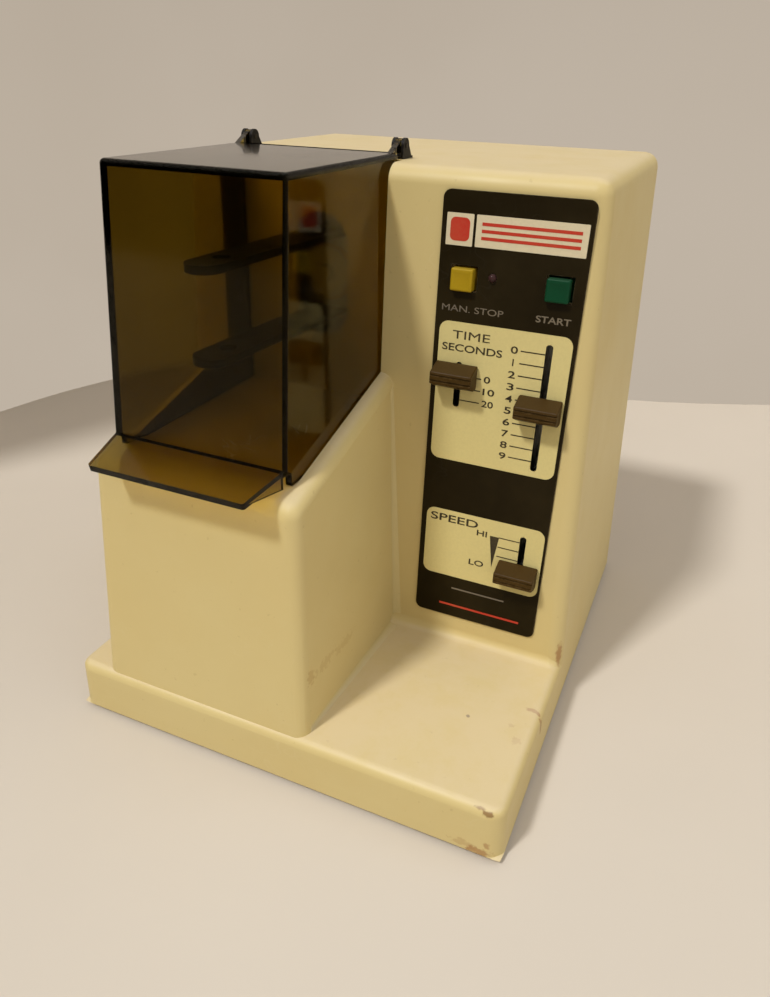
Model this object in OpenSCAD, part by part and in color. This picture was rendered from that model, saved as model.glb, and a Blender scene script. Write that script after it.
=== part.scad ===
// Bench mixer for dental capsules: a moulded housing with a low plinth, a tower that carries the
// mixing chamber, a hinged see-through cover, a leaning control panel and a wobbling mixing arm.
// Units are millimetres. +Z is up, +X is to the right and the front faces -Y. The origin is on the
// bench, under the middle of the whole machine.

/* [Housing] */
// Width across the plinth
body_w = 190; // [184:1:196]
// Depth of the plinth
body_d = 220; // [216:1:224]
// Height of the housing above its lower edge
body_h = 217; // [213:1:221]
// Height of the plinth
plinth_h = 23; // [20:1:26]
// Draft of the outer side walls, in degrees
side_draft = 2.9; // [2.5:0.1:3.2]
// Distance from the front edge of the plinth back to the foot of the control panel
panel_set = 85.4; // [83:0.2:88]
// Backward lean of the control panel, in degrees
panel_lean = 2.1; // [1.5:0.1:2.6]
// Wall thickness of the moulding
wall = 3; // [2.6:0.1:3.4]

/* [Tower] */
// Sideways place of the middle of the tower
tower_x = -32; // [-34:0.5:-30]
// Width of the tower where it stands on the plinth
tower_w = 94.6; // [92:0.2:97]
// Draft of the tower's sides, in degrees
tower_draft = 2.6; // [2.2:0.1:3]
// Backward lean of the tower's front, in degrees
tower_lean = 4; // [3:0.2:5]
// Height of the tower's front above the lower edge of the housing
tower_h = 118; // [116:0.5:120]
// Rise of the tower's rim towards the back, in millimetres per millimetre
rim_slope = 0.27; // [0.22:0.01:0.3]

/* [Chamber] */
// Width of the mixing chamber
chamber_w = 73; // [72:0.5:74]
// Height of the chamber floor above the lower edge of the housing
deck_h = 121; // [120:0.5:122]
// Distance from the front edge of the plinth back to the chamber's back wall
chamber_set = 106; // [105:0.5:108]

/* [Cover] */
// Width of the cover at its open foot
cover_w = 72; // [71:0.5:72]
// Width of the cover at its top
cover_top_w = 69; // [68:0.5:70]
// Height of the cover's top above the lower edge of the housing
cover_h = 219.5; // [218:0.5:221]
// Thickness of the cover's walls
cover_t = 2.5; // [2:0.1:3]
// Distance that the lip stands out past the plinth
lip_over = 4.5; // [3.5:0.5:6]

/* [Controls] */
// Width of the control label
label_w = 54; // [52:1:56]
// Height of the control label
label_h = 176.5; // [170:0.5:178]
// Width of a slider knob
knob_w = 19; // [18:0.5:20]
// Height of a slider knob at its foot
knob_h = 11.5; // [10:0.5:12]
// Distance that a slider knob stands out
knob_out = 11; // [10:0.5:13]
// Width of a push-button cap
button_w = 9.2; // [8.5:0.1:10]
// Distance that a push-button cap stands out
button_out = 4; // [3:0.5:5]

/* [Mixing arm] */
// Tilt of the wobble hub on the motor shaft, in degrees
hub_tilt = 3; // [2:0.5:3]
// Height of the motor shaft above the lower edge of the housing
shaft_h = 171; // [169:1:173]
// Distance between the two prongs, centre to centre
prong_gap = 32; // [30:1:34]
// Length of a prong in front of the arm block
prong_len = 86; // [82:1:88]
// Width of a prong
prong_w = 14; // [12:1:15]
// Thickness of a prong
prong_t = 3; // [2.5:0.5:3.5]

/* [Hidden] */
$fn = 48;
HULL_FN = 32;

// Colours
CREAM = [0.88, 0.81, 0.62];
SMOKE = [0.25, 0.20, 0.08, 0.6];
BLACK = [0.07, 0.06, 0.05];
BROWN = [0.26, 0.17, 0.09];
YELLOW = [0.82, 0.74, 0.14];
GREEN = [0.02, 0.42, 0.28];
RED = [0.45, 0.03, 0.03];
STEEL = [0.66, 0.67, 0.68];
BRONZE = [0.70, 0.52, 0.28];
CASTING = [0.60, 0.60, 0.58];
LAMINATION = [0.38, 0.38, 0.40];
COPPER = [0.62, 0.36, 0.16];
BOARD = [0.16, 0.34, 0.16];

// Standing places
foot_h = 2.5;
gland_out = 2.5;
depth_all = lip_over + body_d + gland_out;
front_y = lip_over - depth_all / 2;
back_y = front_y + body_d;
top_z = foot_h + body_h;
ledge_z = foot_h + plinth_h;
deck_z = foot_h + deck_h;
chamber_y = front_y + chamber_set;
eps = 0.01;
cut = 1;

// Housing outline
corner_r = 8;
edge_r = 6;
plinth_r = 4;
back_in = 2.7;
back_lean = atan(back_in / body_h);
tower_front_in = 2;
tower_r = 5;
tower_root = 4;
tower_buried = 20;
fillet_r = 4;
fillet_sunk = 1;
through = 4 * wall;
function side_x(z) = body_w / 2 - (z - foot_h) * tan(side_draft);
function panel_y(z) = front_y + panel_set + (z - ledge_z) * tan(panel_lean);
function rear_y(z) = back_y - (z - foot_h) * tan(back_lean);
function tower_half(z) = tower_w / 2 - (z - ledge_z) * tan(tower_draft);
function tower_y(z) = front_y + tower_front_in + (z - ledge_z) * tan(tower_lean);

// Cover and its hinge
cover_z0 = deck_z + 0.5;
cover_z1 = foot_h + cover_h;
cover_back_y = chamber_y - 1;
cover_lean = 5.9;
cover_r = 2;
cover_reach = 10;
cover_front_y = front_y + 24.4;
function cover_y(z) = cover_front_y - (cover_z1 - z) * tan(cover_lean);
lip_z = foot_h + 129;
lip_drop = 4.3;
lip_t = 2.5;
lip_edge_w = 63;
lip_root_in = 1;
lip_r = 5;
grip_y = front_y + 18.5;
hinge_y = chamber_y + 5;
hinge_z = top_z + 4.5;
hinge_dx = 33;
hinge_pin_r = 1.25;
hinge_gap = 0.35;
running_gap = 0.05;
lug_t = 3;
lug_r = 3.2;
lug_root = 9;
lug_step = 0.6;
lug_top_len = 2;
lug_top_drop = 0.4;
ear_t = 1.7;
ear_r = 3.8;
ear_foot = 3;
pin_over = 0.5;
bracket_foot_t = 1;
bracket_len = 13;

// Control panel, measured to the right from the middle and up from the ledge
label_u = 53.4;
label_v = 11;
label_t = 0.8;
label_r = 3;
stop_uv = [36.4, 157.5];
start_uv = [71.4, 157.7];
lamp_uv = [47, 158.8];
lamp_r = 1.5;
lamp_gap = 0.1;
lamp_in = 2;
lamp_flange = 1;
lamp_flange_t = 1.5;
button_h = 8.6;
button_gap = 0.3;
button_depth = 6;
button_flange = 1.4;
button_flange_r = 0.8;
button_step = 0.6;
button_step_in = 0.5;
plunger_r = 1.5;
plunger_len = 6;
plunger_gap = 0.35;
tens_u = 37.3;
units_u = 70.8;
speed_u = 70.8;
tens_v = 122.5;
units_v = 114.5;
speed_v = 43;
tens_slot = [108.5, 126.5];
units_slot = [88, 138];
speed_slot = [37, 58.5];
slot_w = 2.6;
slot_in_w = 6;
slot_in_over = 1.5;
panel_cut_in = 12;
panel_cut_out = 5;
stem_w = 1.6;
stem_h = 4;
knob_gap = 0.5;
knob_tip_h = 6;
knob_heel_t = 2;
knob_toe_t = 4;
knob_top_t = 3;
groove_w = 1;
groove_d = 0.5;
groove_v = 1.5;
board_depth = 17;
board_t = 1.6;
board_r = 2;
board_over = 4;
slide_w = 9;
slide_end = 6;
slide_t = 7;
slide_floor = 1;
slide_play = 1;
slide_wall = 2;
switch_s = 12;
switch_h = 7;
switch_r = 1;
switch_floor = 2;
board_v = [18, 178];
board_half = 24;
board_boss_r = 3;
board_screw_r = 1.2;
board_screw_in = 3;
board_screw_len = 8;
board_screw_head_r = 2.6;
board_screw_head_t = 1.6;
SLOTS = [[tens_u, tens_slot], [units_u, units_slot], [speed_u, speed_slot]];
BUTTONS = [stop_uv, start_uv];

// Motor and mixing arm
shaft_z = foot_h + shaft_h;
hub_y = chamber_y + 16;
shaft_r = 4;
hub_r = 9;
hub_len = 18;
hub_flange_r = 12;
hub_flange_t = 2;
washer_t = 1.2;
washer_over = 1.6;
nut_r = 3.6;
nut_t = 2.4;
bush_r = 11.5;
bush_in = 0.3;
arm_w = 30;
arm_h = prong_gap - prong_t;
arm_len = hub_len - 2;
arm_r = 6;
lobe_h = 10;
lobe_depth = 3;
lobe_over = 6;
lobe_r = 4.9;
seat_in = 9;
seat_r = 3.5;
prong_screw_r = 1.6;
prong_screw_dy = 4;
prong_screw_in = 2;
prong_screw_head_r = 3;
arm_port_w = 24;
arm_port_h = 50;
plate_y = chamber_y + 35;
plate_t = 2.5;
plate_r = 6;
plate_over = 9;
motor_r = 32;
motor_len = 54;
motor_wall = 3;
motor_front = plate_y + plate_t - hub_y;
window_r = 3.5;
window_in = 10;
window_turn = 45;
stator_r = 20;
pole_gap = 1.5;
pole_room = [7, 22];
rotor_r = 19.4;
rotor_slot = [4, 1.6];
rotor_slot_turn = 30;
core_len = 32;
core_set = 10;
end_ring_t = 3.5;
end_ring_in = 4;
bearing_r = 7;
bearing_len = 10;
seat_wall = 3.5;
seat_out = 4;
rear_seat_out = 3;
shaft_over = 14;
boss_dx = 36;
boss_dz = 32;
boss_r = 5;
boss_hole = 14;
isolator_t = 4;
isolator_over = 1;
isolator_gap = 0.1;
motor_screw_r = 1.7;
motor_screw_head_r = 4;
motor_screw_head_t = 2.4;
motor_screw_grip = 10;
fan_r = 26;
fan_set = 5;
fan_hub_wall = 3;
fan_hub_len = 8;
fan_disc_t = 1.2;
fan_blades = 7;
blade_t = 1.2;
blade_h = 7;
blade_root = 2;
blade_tip = 1;
spring_r = 3.5;
spring_wire = 1.2;
spring_pitch = 1.1;
spring_turns = 14;
spring_dx = 20;
spring_hole_r = 2.6;
spring_top = -10.4;
eye_r = 5;
eye_drop = 0.3;
post_r = 2;
post_over = 3;
post_dz = 31;
post_eye_r = 2.65;

// Base, feet and rear wall
base_t = 2;
base_gap = 0.5;
base_screw_r = 1.7;
base_screw_head_r = 4;
base_screw_len = 12;
base_vent_y = 40;
base_vent_half = 20;
base_vent_pitch = 10.5;
base_vents = 4;
foot_r = 8;
foot_edge = 1;
foot_neck_r = 4;
foot_bead = 1.5;
foot_bead_h = 2;
foot_dx = 76;
foot_in = 28;
screw_dx = 82;
screw_in = 13;
pillar_r = 4.5;
pillar_h = 17;
rib_t = 2.5;
rib_reach = 11;
screw_head_t = 1.8;
screw_taper = 0.8;
screw_play = 0.3;
gland_x = -60;
gland_z = 26;
gland_r = 6.3;
gland_bore_r = 3.6;
gland_flange_r = 9.5;
gland_taper = 1.5;
gland_in = 12.1;
barb_gap = 0.8;
barb_out = 0.9;
barb_len = 4;
vent_w = 3;
vent_h = 46;
vent_pitch = 7;
vent_count = 13;

// Mains transformer on the base plate
core_at = [55, 60];
core_size = [50, 18, 42];
core_window_w = 8;
core_yoke = 8;
coil_gap = 0.5;
coil_t = 7.8;
coil_depth = 7.5;
coil_r = 3;

// ---------------------------------------------------------------- helpers

// Rounded rectangle centred on the origin, made of straight and round pieces.
module rounded_rect(w, h, r) {
    square([w - 2 * r, h], center = true);
    square([w, h - 2 * r], center = true);
    for (x = [-1, 1], y = [-1, 1])
        translate([x * (w / 2 - r), y * (h / 2 - r)]) circle(r);
}

// Slot with round ends, drawn from one end centre to the other along Y.
module slot_shape(w, v0, v1) {
    translate([-w / 2, v0 + w / 2]) square([w, v1 - v0 - w]);
    for (v = [v0 + w / 2, v1 - w / 2]) translate([0, v]) circle(w / 2);
}

// Puts children on the panel: x to the right, y up the panel, z straight out of it.
module on_panel() {
    translate([0, panel_y(ledge_z), ledge_z]) rotate([90 - panel_lean, 0, 0]) children();
}

// Puts children on the shaft line, their z running backwards along +Y from the hub's middle.
module on_shaft() {
    translate([tower_x, hub_y, shaft_z]) rotate([-90, 0, 0]) children();
}

// The same, tilted as the wobble hub is tilted.
module on_hub() {
    translate([tower_x, hub_y, shaft_z]) rotate([0, 0, -hub_tilt]) rotate([-90, 0, 0]) children();
}

// Puts children at the four base screws.
module at_base_screws(z) {
    for (x = [-screw_dx, screw_dx], y = [front_y + screw_in, back_y - screw_in])
        translate([x, y, z]) children();
}

// Puts children at the four motor bosses, their z running backwards.
module at_motor_bosses(y) {
    for (x = [-boss_dx, boss_dx], z = [-boss_dz, boss_dz])
        translate([tower_x + x, y, shaft_z + z]) rotate([-90, 0, 0]) children();
}

// Puts children at the circuit board's four screws, their z straight out of the panel.
module at_board_screws(w) {
    on_panel() for (side = [-1, 1], v = board_v)
        translate([label_u + side * (board_half - board_screw_in), v, w]) children();
}

// Outline of the holes for the push-buttons and the lamp.
module control_holes() {
    for (uv = BUTTONS)
        translate(uv) square([button_w + 2 * button_gap, button_h + 2 * button_gap], center = true);
    translate(lamp_uv) circle(lamp_r + lamp_gap);
}

// Cylinder along +X, centred.
module pin_x(r, h) {
    rotate([0, 90, 0]) cylinder(r = r, h = h, center = true);
}

// ---------------------------------------------------------------- housing

// Main block behind the panel. inset moves every wall inwards.
module rear_block(inset) {
    r = edge_r - inset / 2;
    zc = top_z - inset - r;
    hull() {
        for (side = [-1, 1]) {
            x0 = side * (side_x(foot_h) - inset - corner_r + inset);
            translate([x0, panel_y(foot_h) + inset + corner_r - inset, foot_h])
                cylinder(r = corner_r - inset, h = eps, $fn = HULL_FN);
            translate([x0, back_y - corner_r, foot_h])
                cylinder(r = corner_r - inset, h = eps, $fn = HULL_FN);
            x1 = side * (side_x(zc) - inset - r);
            translate([x1, panel_y(zc) + inset + r, zc]) sphere(r, $fn = HULL_FN);
            translate([x1, rear_y(zc) - inset - r, zc]) sphere(r, $fn = HULL_FN);
        }
    }
}

// Low plinth under everything, running back into the main block.
module plinth_block(inset) {
    r = plinth_r - inset / 2;
    zc = ledge_z - inset - r;
    hull() {
        for (side = [-1, 1]) {
            x0 = side * (side_x(foot_h) - corner_r);
            for (y = [front_y + corner_r, tower_buried])
                translate([x0, y, foot_h]) cylinder(r = corner_r - inset, h = eps, $fn = HULL_FN);
            x1 = side * (side_x(zc) - corner_r);
            for (y = [front_y + corner_r + eps, tower_buried]) {
                translate([x1, y, zc]) cylinder(r = corner_r - inset, h = eps, $fn = HULL_FN);
                translate([x1, y, ledge_z - inset - eps])
                    cylinder(r = corner_r - inset - r, h = eps, $fn = HULL_FN);
                translate([x1, y, zc + r * sin(45)])
                    cylinder(r = corner_r - inset - r * (1 - cos(45)), h = eps, $fn = HULL_FN);
            }
        }
    }
}

// Tower under the chamber, its rim rising towards the back.
module tower_block(inset) {
    r = tower_r - inset / 2;
    foot = ledge_z - tower_root;
    zf = foot_h + tower_h - inset - r;
    yf = tower_y(zf) + inset + r;
    zb = zf + (tower_buried - yf) * rim_slope;
    hull() {
        for (side = [-1, 1]) {
            for (y = [tower_y(foot) + inset + r, tower_buried])
                translate([tower_x + side * (tower_half(foot) - inset - r), y, foot])
                    cylinder(r = r, h = eps, $fn = HULL_FN);
            translate([tower_x + side * (tower_half(zf) - inset - r), yf, zf]) sphere(r, $fn = HULL_FN);
            translate([tower_x + side * (tower_half(zb) - inset - r), tower_buried, zb])
                sphere(r, $fn = HULL_FN);
        }
    }
}

// Room for the chamber, cut down into the tower and back into the main block.
module chamber_space(grow) {
    w = chamber_w + 2 * grow;
    depth = chamber_y + grow - (front_y - body_d / 4);
    translate([tower_x - w / 2, chamber_y + grow - depth, deck_z - grow])
        cube([w, depth, body_h]);
}

// Hollow inside of the moulding, open at the bottom.
module housing_hollow() {
    difference() {
        union() {
            rear_block(wall);
            intersection() {
                tower_block(wall);
                translate([-body_w / 2, front_y, 0]) cube([body_w, body_d, deck_z - wall]);
            }
            plinth_block(wall);
            translate([-body_w / 2 + corner_r + wall, front_y + corner_r + wall, 0])
                cube([body_w - 2 * (corner_r + wall), body_d - 2 * (corner_r + wall), foot_h + cut]);
        }
        chamber_space(wall);
    }
}

// Rounding strip for an inside corner, its walls along +X and +Y, sunk a little into both.
module fillet_strip(length) {
    linear_extrude(length) difference() {
        translate([-fillet_sunk, -fillet_sunk]) square(fillet_r + fillet_sunk);
        translate([fillet_r, fillet_r]) circle(fillet_r);
    }
}

// Rounded inside corners where the panel and the tower's sides rise from the ledge.
module ledge_fillets() {
    side_len = panel_y(ledge_z) - front_y - tower_front_in - tower_r;
    panel_end = side_x(ledge_z) - corner_r;
    for (side = [-1, 1]) {
        foot_x = tower_x + side * tower_half(ledge_z);
        translate([foot_x, panel_y(ledge_z) + fillet_sunk, ledge_z]) rotate([90, 0, 0])
            mirror([side > 0 ? 0 : 1, 0, 0]) fillet_strip(side_len);
        run = side * panel_end - foot_x;
        translate([foot_x + (side > 0 ? 0 : run), panel_y(ledge_z), ledge_z]) rotate([90, 0, 90])
            mirror([1, 0, 0]) fillet_strip(abs(run));
    }
}

// Pillars moulded inside for the base screws, the motor plate and the circuit board.
module housing_pillars() {
    at_base_screws(foot_h + base_gap + base_t) cylinder(r = pillar_r, h = pillar_h);
    for (side = [-1, 1], y = [front_y + screw_in, back_y - screw_in])
        translate([side * screw_dx + (side > 0 ? 0 : -rib_reach), y - rib_t / 2, foot_h + base_gap + base_t])
            cube([rib_reach, rib_t, pillar_h]);
    at_motor_bosses(chamber_y + wall - eps)
        cylinder(r = boss_r, h = plate_y - isolator_t - chamber_y - wall);
    at_board_screws(-board_depth) cylinder(r = board_boss_r, h = board_depth - wall / 2);
}

// Screw holes in those pillars.
module pillar_holes() {
    at_base_screws(foot_h) cylinder(r = base_screw_r, h = pillar_h);
    at_motor_bosses(plate_y - isolator_t - boss_hole) cylinder(r = motor_screw_r, h = boss_hole + cut);
    at_board_screws(-board_depth - cut) cylinder(r = board_screw_r, h = board_screw_len + cut);
}

// Slots and holes through the panel behind the label.
module panel_holes() {
    on_panel() translate([0, 0, -panel_cut_in]) linear_extrude(panel_cut_in + panel_cut_out) {
        for (s = SLOTS)
            translate([s[0], 0]) slot_shape(slot_in_w, s[1][0] - slot_in_over, s[1][1] + slot_in_over);
        control_holes();
    }
}

// Upright cooling slots through the back wall, behind the motor.
module rear_vents() {
    for (i = [0 : vent_count - 1])
        translate([tower_x + (i - (vent_count - 1) / 2) * vent_pitch, back_y + cut, shaft_z])
            rotate([90, 0, 0]) linear_extrude(through) slot_shape(vent_w, -vent_h / 2, vent_h / 2);
}

module housing() {
    color(CREAM) difference() {
        union() {
            difference() {
                union() {
                    rear_block(0);
                    tower_block(0);
                    plinth_block(0);
                    ledge_fillets();
                }
                housing_hollow();
            }
            housing_pillars();
        }
        chamber_space(0);
        pillar_holes();
        panel_holes();
        rear_vents();
        translate([tower_x, chamber_y - cut, shaft_z]) rotate([-90, 0, 0]) linear_extrude(wall + 2 * cut)
            rounded_rect(arm_port_w, arm_port_h, arm_port_w / 2 - eps);
        translate([gland_x, back_y + cut, gland_z]) rotate([90, 0, 0])
            cylinder(r = gland_r, h = through);
    }
}

// ---------------------------------------------------------------- base

module base_plate() {
    w = body_w - 2 * (wall + base_gap);
    d = body_d - 2 * (wall + base_gap);
    color(STEEL) difference() {
        translate([0, (front_y + back_y) / 2, foot_h + base_gap]) linear_extrude(base_t)
            rounded_rect(w, d, corner_r - wall);
        at_base_screws(0) cylinder(r = base_screw_r + screw_play, h = plinth_h);
        for (x = [-foot_dx, foot_dx], y = [front_y + foot_in, back_y - foot_in])
            translate([x, y, 0]) cylinder(r = foot_neck_r, h = plinth_h);
        for (i = [-base_vents : base_vents])
            translate([tower_x + i * base_vent_pitch, base_vent_y, 0]) linear_extrude(plinth_h)
                slot_shape(vent_w, -base_vent_half, base_vent_half);
    }
}

// Rubber foot with a neck that fills its hole in the base plate.
module rubber_foot(x, y) {
    under = foot_h + base_gap;
    over = under + base_t;
    color(BLACK) translate([x, y, 0]) rotate_extrude() polygon([
        [0, 0], [foot_r - foot_edge, 0], [foot_r, foot_edge], [foot_r, under], [foot_neck_r, under],
        [foot_neck_r, over], [foot_neck_r + foot_bead, over], [foot_neck_r, over + foot_bead_h],
        [0, over + foot_bead_h]
    ]);
}
module foot_front_left() { rubber_foot(-foot_dx, front_y + foot_in); }
module foot_front_right() { rubber_foot(foot_dx, front_y + foot_in); }
module foot_rear_left() { rubber_foot(-foot_dx, back_y - foot_in); }
module foot_rear_right() { rubber_foot(foot_dx, back_y - foot_in); }

// Low round screw head with its shank standing on it, pointing up.
module screw(head_r, head_h, shank_r, shank_h) {
    cylinder(r1 = head_r - screw_taper, r2 = head_r, h = head_h);
    cylinder(r = shank_r, h = head_h + shank_h);
}

module base_screws() {
    color(STEEL) at_base_screws(foot_h + base_gap - screw_head_t)
        screw(base_screw_head_r, screw_head_t, base_screw_r, base_screw_len);
}

// Bush in the back wall for the mains cord.
module cord_gland() {
    seat_y = rear_y(gland_z - gland_flange_r);
    flange_t = back_y + gland_out - seat_y;
    color(BLACK) translate([gland_x, seat_y, gland_z]) rotate([90, 0, 0]) difference() {
        union() {
            translate([0, 0, -flange_t])
                cylinder(r1 = gland_flange_r - gland_taper, r2 = gland_flange_r, h = flange_t);
            cylinder(r = gland_r - running_gap, h = gland_in);
            translate([0, 0, wall + barb_gap])
                cylinder(r1 = gland_r + barb_out, r2 = gland_r - running_gap, h = barb_len);
        }
        translate([0, 0, -flange_t - cut]) cylinder(r = gland_bore_r, h = flange_t + gland_in + 2 * cut);
    }
}

// ---------------------------------------------------------------- panel

module control_label() {
    color(BLACK) on_panel() linear_extrude(label_t) difference() {
        translate([label_u, label_v + label_h / 2]) rounded_rect(label_w, label_h, label_r);
        for (s = SLOTS) translate([s[0], 0]) slot_shape(slot_w, s[1][0], s[1][1]);
        control_holes();
    }
}

module indicator_lens() {
    depth = wall + lamp_in;
    color(RED) on_panel() translate([lamp_uv[0], lamp_uv[1], -depth]) {
        cylinder(r = lamp_r, h = depth + label_t);
        cylinder(r = lamp_r + lamp_flange, h = lamp_flange_t);
        translate([0, 0, depth + label_t]) intersection() {
            sphere(lamp_r);
            cylinder(r = lamp_r, h = lamp_r);
        }
    }
}

module circuit_board() {
    board_h = board_v[1] - board_v[0] + 2 * board_over;
    color(BOARD) difference() {
        on_panel() translate([label_u, (board_v[0] + board_v[1]) / 2, -board_depth - board_t])
            linear_extrude(board_t) rounded_rect(2 * board_half, board_h, board_r);
        at_board_screws(-board_depth - board_t - cut)
            cylinder(r = board_screw_r + screw_play, h = board_t + 2 * cut);
    }
}

module board_screws() {
    color(STEEL) at_board_screws(-board_depth - board_t - board_screw_head_t)
        screw(board_screw_head_r, board_screw_head_t, board_screw_r, board_screw_len);
}

// Straight slide control on the circuit board, open along its front for the stem.
module slide_control(u, slot) {
    h = slot[1] - slot[0] + 2 * slide_end;
    color(STEEL) on_panel() translate([u, (slot[0] + slot[1]) / 2, -board_depth]) difference() {
        linear_extrude(slide_t) square([slide_w, h], center = true);
        translate([0, 0, slide_floor]) linear_extrude(slide_t)
            square([stem_w + 2 * slide_play, h - 2 * slide_wall], center = true);
    }
}
module tens_slide() { slide_control(tens_u, tens_slot); }
module units_slide() { slide_control(units_u, units_slot); }
module speed_slide() { slide_control(speed_u, speed_slot); }

// Push switch on the circuit board, bored for the button's plunger.
module push_switch(uv) {
    color(BLACK) on_panel() translate([uv[0], uv[1], -board_depth]) difference() {
        linear_extrude(switch_h) rounded_rect(switch_s, switch_s, switch_r);
        translate([0, 0, switch_floor]) cylinder(r = plunger_r + plunger_gap, h = switch_h);
    }
}
module stop_switch() { push_switch(stop_uv); }
module start_switch() { push_switch(start_uv); }

// Push-button cap with a flange behind the panel and a plunger into its switch.
module push_button(uv, shade) {
    color(shade) on_panel() translate([uv[0], uv[1], 0]) {
        translate([0, 0, -button_depth]) linear_extrude(button_depth + button_out - button_step)
            rounded_rect(button_w, button_h, button_step);
        translate([0, 0, button_out - button_step - eps]) linear_extrude(button_step)
            rounded_rect(button_w - 2 * button_step_in, button_h - 2 * button_step_in, button_step);
        translate([0, 0, -wall - button_gap - button_flange]) linear_extrude(button_flange)
            rounded_rect(button_w + 2 * button_flange, button_h + 2 * button_flange, button_flange_r);
        translate([0, 0, -button_depth - plunger_len]) cylinder(r = plunger_r, h = plunger_len + eps);
    }
}
module stop_button() { push_button(stop_uv, YELLOW); }
module start_button() { push_button(start_uv, GREEN); }

// Slider knob: a wide slab that thins towards its grooved edge, hollowed for the stem.
module slider_knob(u, v) {
    z0 = label_t + knob_gap;
    color(BROWN) on_panel() translate([u, v, 0]) difference() {
        rotate([90, 0, 90]) linear_extrude(knob_w, center = true) difference() {
            polygon([
                [-knob_h / 2, z0], [knob_h / 2, z0], [knob_h / 2, z0 + knob_heel_t],
                [knob_tip_h / 2, knob_out], [-knob_tip_h / 2, knob_out], [-knob_h / 2, z0 + knob_toe_t]
            ]);
            for (side = [-1, 1]) translate([side * groove_v - groove_w / 2, knob_out - groove_d])
                square([groove_w, 2 * groove_d]);
        }
        translate([0, 0, z0 - cut]) linear_extrude(knob_out - knob_top_t)
            square([stem_w, stem_h], center = true);
    }
}
module tens_knob() { slider_knob(tens_u, tens_v); }
module units_knob() { slider_knob(units_u, units_v); }
module speed_knob() { slider_knob(speed_u, speed_v); }

// Flat steel stem from the slide control to the knob.
module slider_stem(u, v) {
    foot = 2 * slide_floor - board_depth;
    tip = label_t + knob_gap + knob_out - knob_top_t - cut;
    color(STEEL) on_panel() translate([u, v, foot]) linear_extrude(tip - foot)
        square([stem_w, stem_h], center = true);
}
module tens_stem() { slider_stem(tens_u, tens_v); }
module units_stem() { slider_stem(units_u, units_v); }
module speed_stem() { slider_stem(speed_u, speed_v); }

// ---------------------------------------------------------------- cover and hinge

// Outer or inner form of the cover. inset moves the walls inwards, reach extends foot and back.
module cover_block(inset, reach) {
    r = cover_r;
    zc = cover_z1 - inset - r;
    foot = cover_z0 - reach;
    hull() {
        for (side = [-1, 1]) {
            x0 = tower_x + side * (cover_w / 2 - inset - r);
            x1 = tower_x + side * (cover_top_w / 2 - inset - r);
            translate([x0, cover_y(foot) + inset + r, foot]) cylinder(r = r, h = eps, $fn = HULL_FN);
            translate([x0, cover_back_y - r + reach, foot]) cylinder(r = r, h = eps, $fn = HULL_FN);
            translate([x1, cover_y(zc) + inset + r, zc]) sphere(r, $fn = HULL_FN);
            translate([x1, cover_back_y - r + reach, zc]) sphere(r, $fn = HULL_FN);
        }
    }
}

// Flat lip along the foot of the front wall.
module cover_lip() {
    root_y = cover_y(lip_z) + cover_t;
    over = root_y - (front_y - lip_over);
    tilt = atan(lip_drop / over);
    reach = over / cos(tilt);
    half = cover_w / 2 - lip_root_in;
    edge = lip_edge_w / 2;
    translate([tower_x, root_y, lip_z]) rotate([tilt, 0, 0]) translate([0, 0, -lip_t]) linear_extrude(lip_t) {
        polygon([
            [-half, 0], [half, 0], [half, -cover_t], [edge, lip_r - reach], [edge - lip_r, -reach],
            [lip_r - edge, -reach], [-edge, lip_r - reach], [-half, -cover_t]
        ]);
        for (side = [-1, 1]) translate([side * (edge - lip_r), lip_r - reach]) circle(lip_r);
    }
}

// Arm at a top corner of the cover that reaches back to the hinge pin.
module cover_lug(side) {
    translate([tower_x + side * hinge_dx - lug_t / 2, 0, 0]) rotate([90, 0, 90]) linear_extrude(lug_t) {
        polygon([
            [cover_back_y - lug_root, cover_z1 - cover_t / 2], [cover_back_y - cut, cover_z1 - cover_t],
            [cover_back_y + lug_step, hinge_z - lug_r], [hinge_y, hinge_z - lug_r],
            [hinge_y, hinge_z + lug_r], [hinge_y - lug_top_len, hinge_z + lug_r - lug_top_drop]
        ]);
        translate([hinge_y, hinge_z]) circle(lug_r);
    }
}

module cover() {
    color(SMOKE) difference() {
        union() {
            difference() {
                cover_block(0, 0);
                cover_block(cover_t, cover_reach);
                translate([tower_x - body_w / 4, front_y - body_w / 4, deck_z - cut])
                    cube([body_w / 2, grip_y - front_y + body_w / 4, lip_z - lip_t - deck_z + cut]);
            }
            cover_lip();
            for (side = [-1, 1]) cover_lug(side);
        }
        for (side = [-1, 1])
            translate([tower_x + side * hinge_dx, hinge_y, hinge_z])
                pin_x(hinge_pin_r + running_gap, 2 * lug_t);
    }
}

// Black fork on top of the housing: a foot plate with two ears round the cover's lug.
module hinge_bracket(side) {
    ear_x = lug_t / 2 + hinge_gap;
    color(BLACK) translate([tower_x + side * hinge_dx, 0, 0]) difference() {
        union() {
            translate([-ear_x - ear_t, hinge_y - ear_r, top_z])
                cube([2 * (ear_x + ear_t), bracket_len, bracket_foot_t]);
            for (s = [-1, 1])
                translate([s * (ear_x + ear_t / 2) - ear_t / 2, hinge_y, hinge_z]) {
                    rotate([90, 0, 90]) linear_extrude(ear_t) {
                        circle(ear_r);
                        polygon([
                            [-ear_r, 0], [-ear_r, top_z - hinge_z + eps],
                            [ear_r + ear_foot, top_z - hinge_z + eps], [ear_r, 0]
                        ]);
                    }
                }
        }
        translate([0, hinge_y, hinge_z]) pin_x(hinge_pin_r, 2 * bracket_len);
    }
}
module hinge_bracket_left() { hinge_bracket(-1); }
module hinge_bracket_right() { hinge_bracket(1); }

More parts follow.
